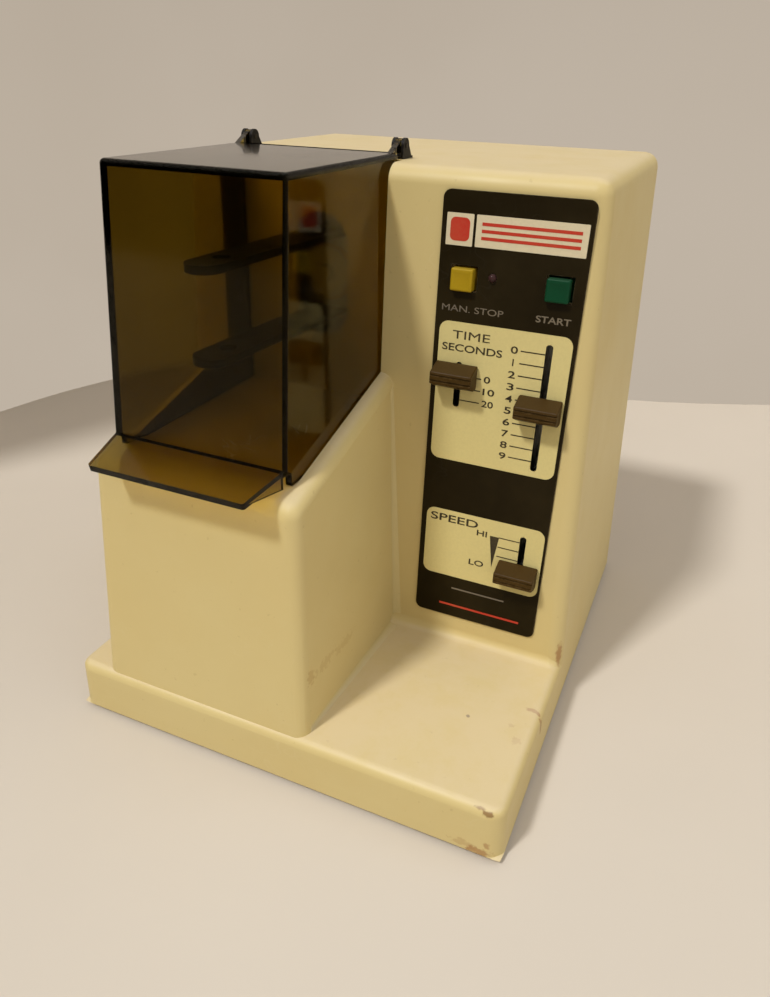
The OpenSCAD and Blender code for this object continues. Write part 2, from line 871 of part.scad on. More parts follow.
module hinge_pin(side) {
    color(STEEL) translate([tower_x + side * hinge_dx, hinge_y, hinge_z])
        pin_x(hinge_pin_r, lug_t + 2 * (hinge_gap + ear_t + pin_over));
}
module hinge_pin_left() { hinge_pin(-1); }
module hinge_pin_right() { hinge_pin(1); }

// ---------------------------------------------------------------- motor

module motor_plate() {
    color(STEEL) translate([tower_x, plate_y, shaft_z]) rotate([-90, 0, 0])
        linear_extrude(plate_t) difference() {
            rounded_rect(2 * (boss_dx + plate_over), 2 * (boss_dz + plate_over), plate_r);
            circle(bearing_r + seat_out);
            for (x = [-boss_dx, boss_dx], z = [-boss_dz, boss_dz])
                translate([x, z]) circle(motor_screw_r + screw_play);
        }
    color(STEEL) for (side = [-1, 1])
        translate([tower_x + side * spring_dx, plate_y + eps, shaft_z - post_dz]) rotate([90, 0, 0])
            cylinder(r = post_r, h = plate_y - hub_y + post_over);
}

module motor_isolators() {
    color(BLACK) at_motor_bosses(plate_y - isolator_t) difference() {
        cylinder(r = boss_r + isolator_over, h = isolator_t);
        translate([0, 0, -cut]) cylinder(r = motor_screw_r + isolator_gap, h = isolator_t + 2 * cut);
    }
}

module motor_screws() {
    color(STEEL) at_motor_bosses(plate_y + plate_t + motor_screw_head_t) rotate([180, 0, 0])
        screw(motor_screw_head_r, motor_screw_head_t, motor_screw_r, plate_t + isolator_t + motor_screw_grip);
}

// Round motor shell with a bearing seat at each end and windows for cooling air.
module motor_case() {
    seat_front = motor_front - plate_t - seat_out;
    rear = motor_front + motor_len;
    color(CASTING) on_shaft() difference() {
        union() {
            translate([0, 0, motor_front]) cylinder(r = motor_r, h = motor_len);
            translate([0, 0, seat_front]) cylinder(r = bearing_r + seat_wall, h = plate_t + seat_out + cut);
            translate([0, 0, rear - cut]) cylinder(r = bearing_r + seat_wall, h = rear_seat_out + cut);
        }
        translate([0, 0, motor_front + motor_wall])
            cylinder(r = motor_r - motor_wall, h = motor_len - 2 * motor_wall);
        translate([0, 0, seat_front - cut]) cylinder(r = bearing_r, h = 2 * motor_len);
        for (a = [0 : window_turn : 360 - window_turn])
            rotate(a) translate([motor_r - window_in, 0, rear - motor_wall - cut])
                cylinder(r = window_r, h = motor_wall + 2 * cut);
    }
}

// Ring of stator laminations with two wound poles' room left round the rotor.
module stator() {
    color(LAMINATION) on_shaft() translate([0, 0, motor_front + core_set])
        linear_extrude(core_len) difference() {
            circle(motor_r - motor_wall);
            circle(stator_r);
            for (a = [0, 180]) rotate(a) translate([stator_r + pole_gap, 0]) square(pole_room, center = true);
        }
}

module motor_bearing(z) {
    color(BRONZE) on_shaft() translate([0, 0, z]) difference() {
        cylinder(r = bearing_r, h = bearing_len);
        translate([0, 0, -cut]) cylinder(r = shaft_r + running_gap, h = bearing_len + 2 * cut);
    }
}
module front_bearing() { motor_bearing(motor_front - plate_t - seat_out); }
module rear_bearing() { motor_bearing(motor_front + motor_len + rear_seat_out - bearing_len); }

module motor_shaft() {
    tip = 1 - hub_len / 2;
    color(STEEL) on_shaft() translate([0, 0, tip])
        cylinder(r = shaft_r, h = motor_front + motor_len + shaft_over - tip);
}

module rotor() {
    front = motor_front + core_set;
    color(LAMINATION) on_shaft() difference() {
        union() {
            translate([0, 0, front]) linear_extrude(core_len) difference() {
                circle(rotor_r);
                for (a = [0 : rotor_slot_turn : 360 - rotor_slot_turn])
                    rotate(a) translate([rotor_r, 0]) square(rotor_slot, center = true);
            }
            for (z = [front - end_ring_t, front + core_len - eps])
                translate([0, 0, z]) cylinder(r = rotor_r - end_ring_in, h = end_ring_t + eps);
        }
        translate([0, 0, front - core_set]) cylinder(r = shaft_r, h = core_len + 2 * core_set);
    }
}

// Fan on the rear end of the shaft: a hub, a back disc and straight blades.
module cooling_fan() {
    root = shaft_r + blade_root;
    color(BLACK) on_shaft() translate([0, 0, motor_front + motor_len + fan_set]) difference() {
        union() {
            cylinder(r = shaft_r + fan_hub_wall, h = fan_hub_len);
            cylinder(r = fan_r, h = fan_disc_t);
            for (i = [0 : fan_blades - 1]) rotate(i * 360 / fan_blades)
                translate([root, -blade_t / 2, 0]) cube([fan_r - blade_tip - root, blade_t, blade_h]);
        }
        translate([0, 0, -cut]) cylinder(r = shaft_r, h = fan_hub_len + 2 * cut);
    }
}

// ---------------------------------------------------------------- mixing arm

// Hub whose outside is tilted against its bore, so that the arm on it wobbles.
module wobble_hub() {
    color(STEEL) difference() {
        on_hub() {
            translate([0, 0, -hub_len / 2]) cylinder(r = hub_r, h = hub_len);
            translate([0, 0, hub_len / 2 - eps]) cylinder(r = hub_flange_r, h = hub_flange_t);
        }
        on_shaft() translate([0, 0, -hub_len]) cylinder(r = shaft_r, h = 3 * hub_len);
    }
}

// Screw and washer that keep the arm on the hub.
module hub_screw() {
    color(STEEL) on_hub() translate([0, 0, -hub_len / 2 - washer_t]) {
        cylinder(r = hub_r + washer_over, h = washer_t);
        translate([0, 0, -nut_t]) cylinder(r = nut_r, h = nut_t + eps, $fn = 6);
    }
}

module arm_bush() {
    color(BRONZE) on_hub() translate([0, 0, bush_in - hub_len / 2]) difference() {
        cylinder(r = bush_r, h = hub_len - 2 * bush_in);
        translate([0, 0, -cut]) cylinder(r = hub_r + running_gap, h = hub_len + 2 * cut);
    }
}

// Arm block round the bush, flat above and below for the prongs, with a lobe at each side.
module mixing_arm() {
    color(CASTING) on_hub() translate([0, 0, -arm_len / 2]) difference() {
        union() {
            linear_extrude(arm_len) rounded_rect(arm_w, arm_h, arm_r);
            translate([0, 0, (arm_len - lobe_depth) / 2]) linear_extrude(lobe_depth)
                rounded_rect(2 * (spring_dx + lobe_over), lobe_h, lobe_r);
        }
        translate([0, 0, -cut]) cylinder(r = bush_r, h = arm_len + 2 * cut);
        for (x = [-spring_dx, spring_dx])
            translate([x, 0, -cut]) cylinder(r = spring_hole_r, h = arm_len + 2 * cut);
        for (side = [-1, 1], z = [-prong_screw_dy, prong_screw_dy])
            translate([0, side * (arm_h / 2 + cut), arm_len / 2 + z]) rotate([side * 90, 0, 0])
                cylinder(r = prong_screw_r, h = prong_screw_in + cut);
    }
}

// Flat prong with a rounded end and a seat for the end of a capsule.
module prong(side) {
    color(BLACK) translate([tower_x, hub_y, shaft_z]) rotate([0, 0, -hub_tilt])
        translate([0, 0, side * prong_gap / 2 - prong_t / 2]) difference() {
            linear_extrude(prong_t) {
                translate([-prong_w / 2, -prong_len]) square([prong_w, prong_len + arm_len / 2]);
                translate([0, -prong_len]) circle(prong_w / 2);
            }
            translate([0, seat_in - prong_len, -cut]) cylinder(r = seat_r, h = prong_t + 2 * cut);
            for (y = [-prong_screw_dy, prong_screw_dy])
                translate([0, y, -cut]) cylinder(r = prong_screw_r, h = prong_t + 2 * cut);
        }
}
module upper_prong() { prong(1); }
module lower_prong() { prong(-1); }

module prong_screws() {
    color(STEEL) translate([tower_x, hub_y, shaft_z]) rotate([0, 0, -hub_tilt])
        for (side = [-1, 1], y = [-prong_screw_dy, prong_screw_dy])
            translate([0, y, side * (prong_gap / 2 + prong_t / 2 + screw_head_t)])
                rotate([side > 0 ? 180 : 0, 0, 0])
                    screw(prong_screw_head_r, screw_head_t, prong_screw_r, prong_t + prong_screw_in);
}

// Coil spring from the arm's lobe down to a post on the motor plate, drawn as touching rings,
// with a loose eye through the lobe and a close eye round the post.
module arm_spring(side) {
    coil = spring_turns * spring_pitch;
    wire = spring_wire / 2;
    color(STEEL) translate([tower_x + side * spring_dx, hub_y, shaft_z]) {
        translate([0, 0, -eye_drop - eye_r]) rotate([0, 90, 0]) rotate_extrude()
            translate([eye_r, 0]) circle(wire, $fn = 16);
        translate([0, 0, spring_top - coil]) rotate_extrude() for (i = [0 : spring_turns - 1])
            translate([spring_r, (i + 0.5) * spring_pitch]) circle(wire, $fn = 16);
        for (z = [spring_top - spring_pitch / 2, spring_top - coil + spring_pitch / 2])
            translate([0, spring_r, z]) rotate([90, 0, 0]) cylinder(r = wire, h = 2 * spring_r);
        translate([0, 0, post_eye_r - post_dz])
            cylinder(r = wire, h = post_dz - post_eye_r + spring_top - coil + wire);
        translate([0, 0, -post_dz]) rotate([90, 0, 0]) rotate_extrude()
            translate([post_eye_r, 0]) circle(wire, $fn = 16);
    }
}
module arm_spring_left() { arm_spring(-1); }
module arm_spring_right() { arm_spring(1); }

// ---------------------------------------------------------------- mains transformer

// Laminated core standing on the base plate, with two windows for the winding.
module transformer_core() {
    color(LAMINATION) translate([core_at[0], core_at[1], foot_h + base_gap + base_t]) difference() {
        translate([-core_size[0] / 2, -core_size[1] / 2, 0]) cube(core_size);
        for (side = [-1, 1])
            translate([side * core_size[0] / 4 - core_window_w / 2, -core_size[1], core_yoke])
                cube([core_window_w, 2 * core_size[1], core_size[2] - 2 * core_yoke]);
    }
}

// Winding round the middle limb of the core.
module transformer_coil() {
    limb = core_size[0] / 2 - core_window_w;
    z0 = foot_h + base_gap + base_t + core_yoke + coil_gap;
    color(COPPER) translate([core_at[0], core_at[1], z0])
        linear_extrude(core_size[2] - 2 * (core_yoke + coil_gap)) difference() {
            rounded_rect(limb + 2 * coil_t, core_size[1] + 2 * coil_depth, coil_r);
            square([limb, core_size[1]], center = true);
        }
}

housing();
base_plate();
foot_front_left();
foot_front_right();
foot_rear_left();
foot_rear_right();
base_screws();
cord_gland();
control_label();
indicator_lens();
circuit_board();
board_screws();
tens_slide();
units_slide();
speed_slide();
stop_switch();
start_switch();
hinge_bracket_left();
hinge_bracket_right();
hinge_pin_left();
hinge_pin_right();
cover();
stop_button();
start_button();
tens_knob();
units_knob();
speed_knob();
tens_stem();
units_stem();
speed_stem();
motor_plate();
motor_isolators();
motor_screws();
motor_case();
stator();
front_bearing();
rear_bearing();
motor_shaft();
rotor();
cooling_fan();
wobble_hub();
hub_screw();
arm_bush();
mixing_arm();
upper_prong();
lower_prong();
prong_screws();
arm_spring_left();
arm_spring_right();
transformer_core();
transformer_coil();
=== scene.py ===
"""Bench mixer for dental capsules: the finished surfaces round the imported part."""
import bmesh
import bpy
import math
from mathutils import Matrix, Vector


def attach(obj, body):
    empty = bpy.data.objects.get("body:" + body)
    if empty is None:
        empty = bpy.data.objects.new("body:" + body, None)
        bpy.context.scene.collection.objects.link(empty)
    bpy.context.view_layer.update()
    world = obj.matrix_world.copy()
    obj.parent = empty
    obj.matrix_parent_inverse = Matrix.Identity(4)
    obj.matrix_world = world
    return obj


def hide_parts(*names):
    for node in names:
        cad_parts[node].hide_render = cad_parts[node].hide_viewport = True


bl_info = {
    "name": "Capsule Mixer Finish",
    "version": (1, 0, 0),
    "blender": (4, 5, 0),
    "location": "3D View > Sidebar > Mixer",
    "description": "Models and finishes the surfaces of a bench mixer for dental capsules",
    "category": "Object",
}

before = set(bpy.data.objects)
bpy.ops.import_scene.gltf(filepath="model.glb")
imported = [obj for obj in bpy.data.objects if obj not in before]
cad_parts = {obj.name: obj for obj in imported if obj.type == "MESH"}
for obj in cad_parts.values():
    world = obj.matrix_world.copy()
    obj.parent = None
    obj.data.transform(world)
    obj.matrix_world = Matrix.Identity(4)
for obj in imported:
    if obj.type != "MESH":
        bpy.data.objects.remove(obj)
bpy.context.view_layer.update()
MM = 0.001

# Standing places of the machine, in millimetres, as the frame has them.
FOOT_Z = 2.5
TOP_Z = 219.5
LEDGE_Z = 25.5
DECK_Z = 123.5
FRONT_Y = -109.0
BACK_Y = 111.0
PANEL_Y = -23.6
CHAMBER_Y = -3.0
HALF_W = 95.0
WALL = 3.0
TOWER_X = -32.0
SIDE_DRAFT = math.tan(math.radians(2.9))
PANEL_LEAN = math.radians(2.1)
TOWER_DRAFT = math.tan(math.radians(2.6))
TOWER_LEAN = math.tan(math.radians(4.0))
BACK_LEAN = 2.7 / 217.0
RIM_SLOPE = 0.27
HINGE_Y, HINGE_Z, HINGE_DX = 2, 224, 33
CHAMBER_HALF = 36.5
LABEL_T = 0.8
STEM_TOP = 5

# On the panel: u and the two ends of each slider slot (tens, units, speed), then u and v of the
# middle of the stop and start buttons.
SLOTS = ((37.3, 108.5, 126.5), (70.8, 88, 138), (70.8, 37, 58.5))
BUTTONS = ((36.4, 157.5), (71.4, 157.7))

# Points nearer than this, in metres, are merged.
DOUBLE = 0.000002


def side_x(z):
    """Half width of the housing at a height."""
    return HALF_W - (z - FOOT_Z) * SIDE_DRAFT


def panel_y(z):
    """Depth of the control panel at a height."""
    return PANEL_Y + (z - LEDGE_Z) * math.tan(PANEL_LEAN)


def rear_y(z):
    """Depth of the back wall at a height."""
    return BACK_Y - (z - FOOT_Z) * BACK_LEAN


def tower_half(z):
    """Half width of the tower at a height."""
    return 47.3 - (z - LEDGE_Z) * TOWER_DRAFT


def tower_y(z):
    """Depth of the tower's front at a height."""
    return FRONT_Y + 2 + (z - LEDGE_Z) * TOWER_LEAN


# ---- sizes and colours a user may change


def length(name, description, default, low, high):
    """A length a user may set, in metres."""
    return bpy.props.FloatProperty(name=name, description=description, default=default, min=low, max=high,
                                   unit="LENGTH")


def tint(name, description, default):
    """A colour a user may set."""
    return bpy.props.FloatVectorProperty(name=name, description=description, default=default,
                                         subtype="COLOR", size=3, min=0, max=1)


class MixerSizes(bpy.types.PropertyGroup):
    """Sizes of the finishing pieces, in metres."""

    corner_round: length("Corner round", "Rounding of the housing's upright corners", 0.008, 0.004, 0.010)
    top_round: length("Top round", "Rounding of the housing's top edges", 0.006, 0.003, 0.008)
    fillet: length("Inside fillet", "Rounding where the tower, panel and ledge meet", 0.004, 0.002, 0.006)
    cover_wall: length("Cover wall", "Thickness of the see-through cover's walls", 0.0025, 0.0015, 0.003)
    print_rise: length("Print rise", "Height of the printing above the label film", 0.00008, 0.00004, 0.0002)


class MixerColours(bpy.types.PropertyGroup):
    """Colours of the finishes."""

    cream: tint("Cream plastic", "Moulded housing", (0.618, 0.488, 0.212))
    smoke: tint("Smoked plastic", "What the see-through cover lets through in depth", (0.618, 0.537, 0.058))
    brown: tint("Brown plastic", "Slider knobs", (0.055, 0.028, 0.004))
    black: tint("Label black", "Film of the control label", (0.012, 0.0075, 0.0015))
    yellow: tint("Stop yellow", "Stop button", (0.38, 0.245, 0.008))
    green: tint("Start green", "Start button", (0.003, 0.05, 0.018))
    floor: tint("Floor", "Floor of the stage", (0.60, 0.53, 0.44))


def sizes():
    """The sizes in use."""
    return bpy.context.scene.mixer_sizes


def colours():
    """The colours in use."""
    return bpy.context.scene.mixer_colours


# ---- modelling by hand


def clear():
    """Leaves edit mode and deselects everything."""
    if bpy.context.object and bpy.context.object.mode != "OBJECT":
        bpy.ops.object.mode_set(mode="OBJECT")
    bpy.ops.object.select_all(action="DESELECT")


def only(obj):
    """Leaves edit mode, with obj the one selected, active object."""
    clear()
    obj.select_set(True)
    bpy.context.view_layer.objects.active = obj
    return obj


def edit(obj):
    """Opens obj in edit mode with all of it selected."""
    only(obj)
    bpy.ops.object.mode_set(mode="EDIT")
    select_all()


def rename(obj, name):
    """Names obj and its mesh."""
    obj.name = name
    obj.data.name = name
    return obj


def settle(obj, name=None):
    """Puts obj's place, turn and size into its mesh."""
    only(obj)
    if name:
        rename(obj, name)
    bpy.ops.object.transform_apply(location=True, rotation=True, scale=True)
    return obj


def cube(name, lo, hi):
    """A box between two corners in millimetres."""
    clear()
    lo, hi = Vector(lo) * MM, Vector(hi) * MM
    bpy.ops.mesh.primitive_cube_add(size=1, location=(lo + hi) / 2, scale=hi - lo)
    return settle(bpy.context.object, name)


def rod(name, radius, depth, place, axis, sides=48):
    """A closed round bar in millimetres, centred at place."""
    clear()
    turn = {"X": (0, math.pi / 2, 0), "Y": (math.pi / 2, 0, 0), "Z": (0, 0, 0)}[axis]
    bpy.ops.mesh.primitive_cylinder_add(vertices=sides, radius=radius * MM, depth=depth * MM,
                                        location=Vector(place) * MM, rotation=turn)
    return settle(bpy.context.object, name)


def select_all():
    """In edit mode, selects everything."""
    bpy.ops.mesh.select_all(action="SELECT")


def pick(obj, kind, test):
    """In edit mode, selects the faces or edges whose test is true. The test gets the middle in
    millimetres and the element."""
    if bpy.context.object is not obj or obj.mode != "EDIT":
        only(obj)
        bpy.ops.object.mode_set(mode="EDIT")
    bpy.ops.mesh.select_mode(type={"faces": "FACE", "edges": "EDGE"}[kind])
    bpy.ops.mesh.select_all(action="DESELECT")
    bm = bmesh.from_edit_mesh(obj.data)
    bm.normal_update()
    count = 0
    for e in getattr(bm, kind):
        mid = e.calc_center_median() if kind == "faces" else (e.verts[0].co + e.verts[1].co) / 2
        if test(mid / MM, e):
            e.select_set(True)
            count += 1
    bm.select_flush_mode()
    bmesh.update_edit_mesh(obj.data)
    return count


def along(e, axis):
    """Whether an edge runs nearly along an axis, 0 to 2."""
    return abs((e.verts[0].co - e.verts[1].co).normalized()[axis]) > 0.9


def round_edges(obj, test, width, segments):
    """Rounds the edges that pass test, by a width in metres."""
    pick(obj, "edges", test)
    bpy.ops.mesh.bevel(offset=width, segments=segments, affect="EDGES")
    return only(obj)


def extrude(move):
    """Pulls what is selected out by a move in metres."""
    bpy.ops.mesh.extrude_region_move(TRANSFORM_OT_translate={"value": move})


def block(name, z0, lo0, hi0, z1, lo1, hi1):
    """A box whose top rectangle differs from its bottom one, in millimetres."""
    obj = cube(name, (*lo0, z0), (*hi0, z1))
    pick(obj, "faces", lambda c, f: f.normal.z > 0.9)
    grow = [(hi1[i] - lo1[i]) / (hi0[i] - lo0[i]) for i in (0, 1)]
    mid = [(hi0[i] + lo0[i]) / 2 * MM for i in (0, 1)]
    move = [((hi1[i] + lo1[i]) - (hi0[i] + lo0[i])) / 2 * MM for i in (0, 1)]
    bpy.ops.transform.resize(value=(*grow, 1), center_override=(*mid, z1 * MM))
    bpy.ops.transform.translate(value=(*move, 0))
    return only(obj)


def drawn_line(name, points):
    """Draws a line through points in millimetres by extruding one vertex. Stays in edit mode with
    all of it selected."""
    clear()
    points = [Vector(p) * MM for p in points]
    bpy.ops.mesh.primitive_plane_add(size=MM, location=points[0])
    obj = settle(bpy.context.object, name)
    bpy.ops.object.mode_set(mode="EDIT")
    bpy.ops.mesh.select_mode(type="VERT")
    select_all()
    bpy.ops.mesh.merge(type="CENTER")
    for a, b in zip(points, points[1:]):
        bpy.ops.mesh.extrude_vertices_move(TRANSFORM_OT_translate={"value": b - a})
    select_all()
    return obj


def outline(name, points, depth):
    """Fills a drawn line and extrudes the face by the vector depth, in millimetres."""
    obj = drawn_line(name, points)
    bpy.ops.mesh.edge_face_add()
    extrude(Vector(depth) * MM)
    select_all()
    bpy.ops.mesh.normals_make_consistent(inside=False)
    return only(obj)


def modifier(obj, kind, **settings):
    """Adds a modifier with settings and applies it."""
    only(obj)
    m = obj.modifiers.new(kind.title(), kind)
    for key, value in settings.items():
        setattr(m, key, value)
    bpy.ops.object.modifier_apply(modifier=m.name)
    return obj


def soften(obj, width, segments, angle, clamp=True):
    """Rounds every edge sharper than angle, by a width in millimetres."""
    return modifier(obj, "BEVEL", width=width * MM, segments=segments, limit_method="ANGLE",
                    angle_limit=math.radians(angle), use_clamp_overlap=clamp)


def cut(obj, *tools, how="DIFFERENCE"):
    """Takes tools from obj, or joins them to it, and removes them."""
    for tool in tools:
        modifier(obj, "BOOLEAN", object=tool, operation=how, solver="EXACT")
        bpy.data.objects.remove(tool)
    return obj


def weigh(obj, test, weight):
    """Sets the bevel weight of the edges that pass test."""
    if pick(obj, "edges", test):
        bpy.ops.transform.edge_bevelweight(value=-1)
        bpy.ops.transform.edge_bevelweight(value=weight)
    return only(obj)


def smooth(obj, angle, mend=False):
    """Smooth shading that keeps edges sharper than angle, flat faces kept flat. To mend is to merge
    doubles and turn every face outwards first."""
    if mend:
        tidy_mesh(obj)
    only(obj)
    bpy.ops.object.shade_smooth_by_angle(angle=math.radians(angle))
    return modifier(obj, "WEIGHTED_NORMAL", keep_sharp=True, weight=80)


def tidy_mesh(obj):
    """Merges doubles and turns every face outwards."""
    edit(obj)
    bpy.ops.mesh.remove_doubles(threshold=DOUBLE)
    bpy.ops.mesh.normals_make_consistent(inside=False)
    return only(obj)


def join(name, objs):
    """Several pieces made one."""
    clear()
    for o in objs:
        o.select_set(True)
    bpy.context.view_layer.objects.active = objs[0]
    if len(objs) > 1:
        bpy.ops.object.join()
    return rename(bpy.context.object, name)


def turned(place, angle, axis):
    """A turn about an axis, then a move to a place in millimetres."""
    return Matrix.Translation(Vector(place) * MM) @ Matrix.Rotation(angle, 4, axis)


def to_panel(obj):
    """Stands a piece drawn flat (x right, y up, z out, in metres) on the control panel."""
    clear()
    obj.matrix_world = turned((0, PANEL_Y, LEDGE_Z), math.pi / 2 - PANEL_LEAN, "X") @ obj.matrix_world
    return settle(obj)


def finish_piece(obj, finish, body, slot, *nodes):
    """Gives a piece its finish and body, and hides the nodes it stands for. Its slot is not used."""
    obj.data.materials.clear()
    obj.data.materials.append(material(finish))
    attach(obj, body)
    if nodes:
        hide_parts(*nodes)
    return obj


# ---- shader node groups


class Net:
    """Short calls for building a node tree. A value is a number, a colour, a vector or a socket."""

    def __init__(self, tree):
        self.tree = tree

    def feed(self, socket, value):
        """Sets a socket, or links it where the value is a socket."""
        if isinstance(value, bpy.types.NodeSocket):
            self.tree.links.new(value, socket)
        elif socket.type == "RGBA":
            socket.default_value = (*value[:3], 1)
        else:
            socket.default_value = value

    def node(self, kind, *given, **settings):
        """A node, with its properties and inputs by name and its first inputs in order."""
        n = self.tree.nodes.new("ShaderNode" + kind)
        for key, value in settings.items():
            if hasattr(n, key) and key not in n.inputs:
                setattr(n, key, value)
            else:
                self.feed(n.inputs[key.replace("_", " ")], value)
        for socket, value in zip(n.inputs, given):
            self.feed(socket, value)
        return n

    def math(self, how, *values, clamp=False):
        return self.node("Math", *values, operation=how, use_clamp=clamp).outputs[0]

    def times(self, a, b):
        return self.math("MULTIPLY", a, b)

    def scaled(self, value, by, plus, clamp=False):
        return self.math("ADD", self.times(value, by), plus, clamp=clamp)

    def vector(self, how, *values):
        return self.node("VectorMath", *values, operation=how).outputs

    def ramp(self, value, low, high, to_low=0.0, to_high=1.0):
        return self.node("MapRange", interpolation_type="SMOOTHSTEP", Value=value, From_Min=low,
                         From_Max=high, To_Min=to_low, To_Max=to_high).outputs["Result"]

    def mix(self, factor, a, b):
        n = self.node("Mix", factor, data_type="RGBA")
        self.feed(n.inputs[6], a)
        self.feed(n.inputs[7], b)
        return n.outputs[2]

    def over(self, base, mask, share, tone):
        """Lays a share of a tone over a base where the mask is."""
        return self.mix(self.times(mask, share), base, tone)

    def noise(self, vector, scale, detail, rough):
        n = self.node("TexNoise", Vector=vector, Scale=scale, Detail=detail, Roughness=rough)
        return n.outputs["Fac"]

    def height_of(self, vector):
        """The Z of a vector."""
        return self.node("SeparateXYZ", vector).outputs["Z"]


def shader_group(name, outputs, **inputs):
    """A node group with named float and vector inputs and float outputs: its calls and its ends."""
    group = bpy.data.node_groups.new(name, "ShaderNodeTree")
    for label, value in {"Vector": (0, 0, 0), **inputs}.items():
        kind = "NodeSocketVector" if isinstance(value, tuple) else "NodeSocketFloat"
        socket = group.interface.new_socket(label.replace("_", " "), in_out="INPUT", socket_type=kind)
        socket.default_value = value
    for label in outputs:
        group.interface.new_socket(label, in_out="OUTPUT", socket_type="NodeSocketFloat")
    return Net(group), group.nodes.new("NodeGroupInput").outputs, group.nodes.new("NodeGroupOutput").inputs


def edge_wear_group():
    """Mask that is 1 on worn outer edges. Radius in metres."""
    net, given, out = shader_group("Edge wear", ["Mask"], Radius=0.0012, Amount=0.5, Break_up=220.0)
    rounded = net.node("Bevel", samples=6, Radius=given["Radius"])
    dot = net.vector("DOT_PRODUCT", rounded.outputs[0], net.node("NewGeometry").outputs["Normal"])
    bend = net.math("SUBTRACT", 1.0, dot["Value"])
    patchy = net.noise(given["Vector"], given["Break up"], 6, 0.65)
    level = net.times(bend, net.times(given["Amount"], 8.0))
    net.feed(out["Mask"], net.math("MULTIPLY", level, net.ramp(patchy, 0.42, 0.62), clamp=True))
    return net.tree


def moulded_grain_group():
    """Fine moulded texture and soft colour drift. Height feeds a Bump, Drift and Fleck are masks."""
    net, given, out = shader_group("Moulded grain", ["Height", "Drift", "Fleck"], Grain=1800.0,
                                   Drift_size=16.0)
    place = given["Vector"]
    broad = net.times(net.noise(place, 90.0, 3, 0.5), 0.65)
    net.feed(out["Height"], net.scaled(net.noise(place, given["Grain"], 3, 0.6), 0.35, broad))
    net.feed(out["Drift"], net.ramp(net.noise(place, given["Drift size"], 5, 0.6), 0.3, 0.7))
    net.feed(out["Fleck"], net.ramp(net.noise(place, 420.0, 2, 0.5), 0.70, 0.78))
    return net.tree


def scratch_group():
    """Fine wiping scratches: long thin streaks in three directions."""
    net, given, out = shader_group("Wiping scratches", ["Mask"], Scale=60.0, Amount=0.5)
    total = None
    for turn, stretch in ((0.4, (1, 24, 1)), (1.9, (1, 30, 1)), (-0.7, (22, 1, 1))):
        way = net.node("Mapping", Vector=given["Vector"], Rotation=(turn, turn * 0.6, turn), Scale=stretch)
        streak = net.noise(way.outputs[0], given["Scale"], 2, 0.5)
        thin = net.ramp(net.math("ABSOLUTE", net.math("SUBTRACT", streak, 0.5)), 0.0, 0.008, 1.0, 0.0)
        total = thin if total is None else net.math("MAXIMUM", total, thin)
    gate = net.ramp(net.noise(given["Vector"], 30.0, 3, 0.6), 0.5, 0.68)
    net.feed(out["Mask"], net.times(net.times(total, gate), given["Amount"]))
    return net.tree


def spot_group():
    """A soft mark at a place, broken at its rim. Place in metres; Squeeze narrows it along an axis."""
    net, given, out = shader_group("Local mark", ["Mask"], Place=(0, 0, 0), Squeeze=(1, 1, 1), Reach=0.004,
                                   Ragged=0.6)
    away = net.vector("SUBTRACT", given["Vector"], given["Place"])[0]
    gap = net.vector("LENGTH", net.vector("MULTIPLY", away, given["Squeeze"])[0])
    share = net.math("DIVIDE", gap["Value"], given["Reach"])
    rough = net.math("SUBTRACT", net.noise(given["Vector"], 500.0, 3, 0.6), 0.5)
    rough = net.times(net.times(rough, given["Ragged"]), 2.0)
    net.feed(out["Mask"], net.ramp(net.math("ADD", share, rough), 0.55, 1.0, 1.0, 0.0))
    return net.tree


def dust_group():
    """Mask on faces that look up, in soft patches. It lays settled dust on small parts, a painted sheen of
    the light from above with some dust on the cream moulding, and the coat of the smoked cover.
    """
    net, given, out = shader_group("Settled dust", ["Mask"], Patch=200.0)
    lift = net.height_of(net.node("NewGeometry").outputs["Normal"])
    patchy = net.ramp(net.noise(given["Vector"], given["Patch"], 5, 0.65), 0.25, 0.6, 0.5, 1.0)
    net.feed(out["Mask"], net.times(net.ramp(lift, 0.6, 0.98), patchy))
    return net.tree


GROUPS = {}


# ---- materials


class Finish(Net):
    """A Principled material being built, with plain values set on its own sockets."""

    def __init__(self, name, **principled):
        self.made = bpy.data.materials.new(name)
        self.made.use_nodes = True
        super().__init__(self.made.node_tree)
        self.shader = self.tree.nodes["Principled BSDF"]
        self.end = next(n for n in self.tree.nodes if n.type == "OUTPUT_MATERIAL").inputs
        self.place = self.node("TexCoord").outputs["Object"]
        for key, value in principled.items():
            self.feed(self.shader.inputs[key.replace("_", " ")], value)

    def group(self, maker, **settings):
        """Places a node group, made the first time it is asked for, and gives its outputs."""
        if maker not in GROUPS:
            GROUPS[maker] = maker()
        return self.node("Group", node_tree=GROUPS[maker], Vector=self.place, **settings).outputs

    def speckle(self, scale, detail, rough, low, high):
        """Noise over the object, made into a mask."""
        return self.ramp(self.noise(self.place, scale, detail, rough), low, high)

    def dress(self, colour, rough, height, distance, strength):
        """Feeds the shader its colour, roughness and bump, and gives the material."""
        bumped = self.node("Bump", Strength=strength, Distance=distance, Height=height)
        for key, value in (("Base Color", colour), ("Roughness", rough), ("Normal", bumped.outputs[0])):
            self.feed(self.shader.inputs[key], value)
        return self.made


def blend(a, b, share):
    """A colour part of the way from a to b."""
    return tuple(x + (y - x) * share for x, y in zip(a, b))


BROWN_CHIP, DARK_SPOT, PALE_STAIN = (0.36, 0.17, 0.05), (0.10, 0.045, 0.012), (0.42, 0.25, 0.08)

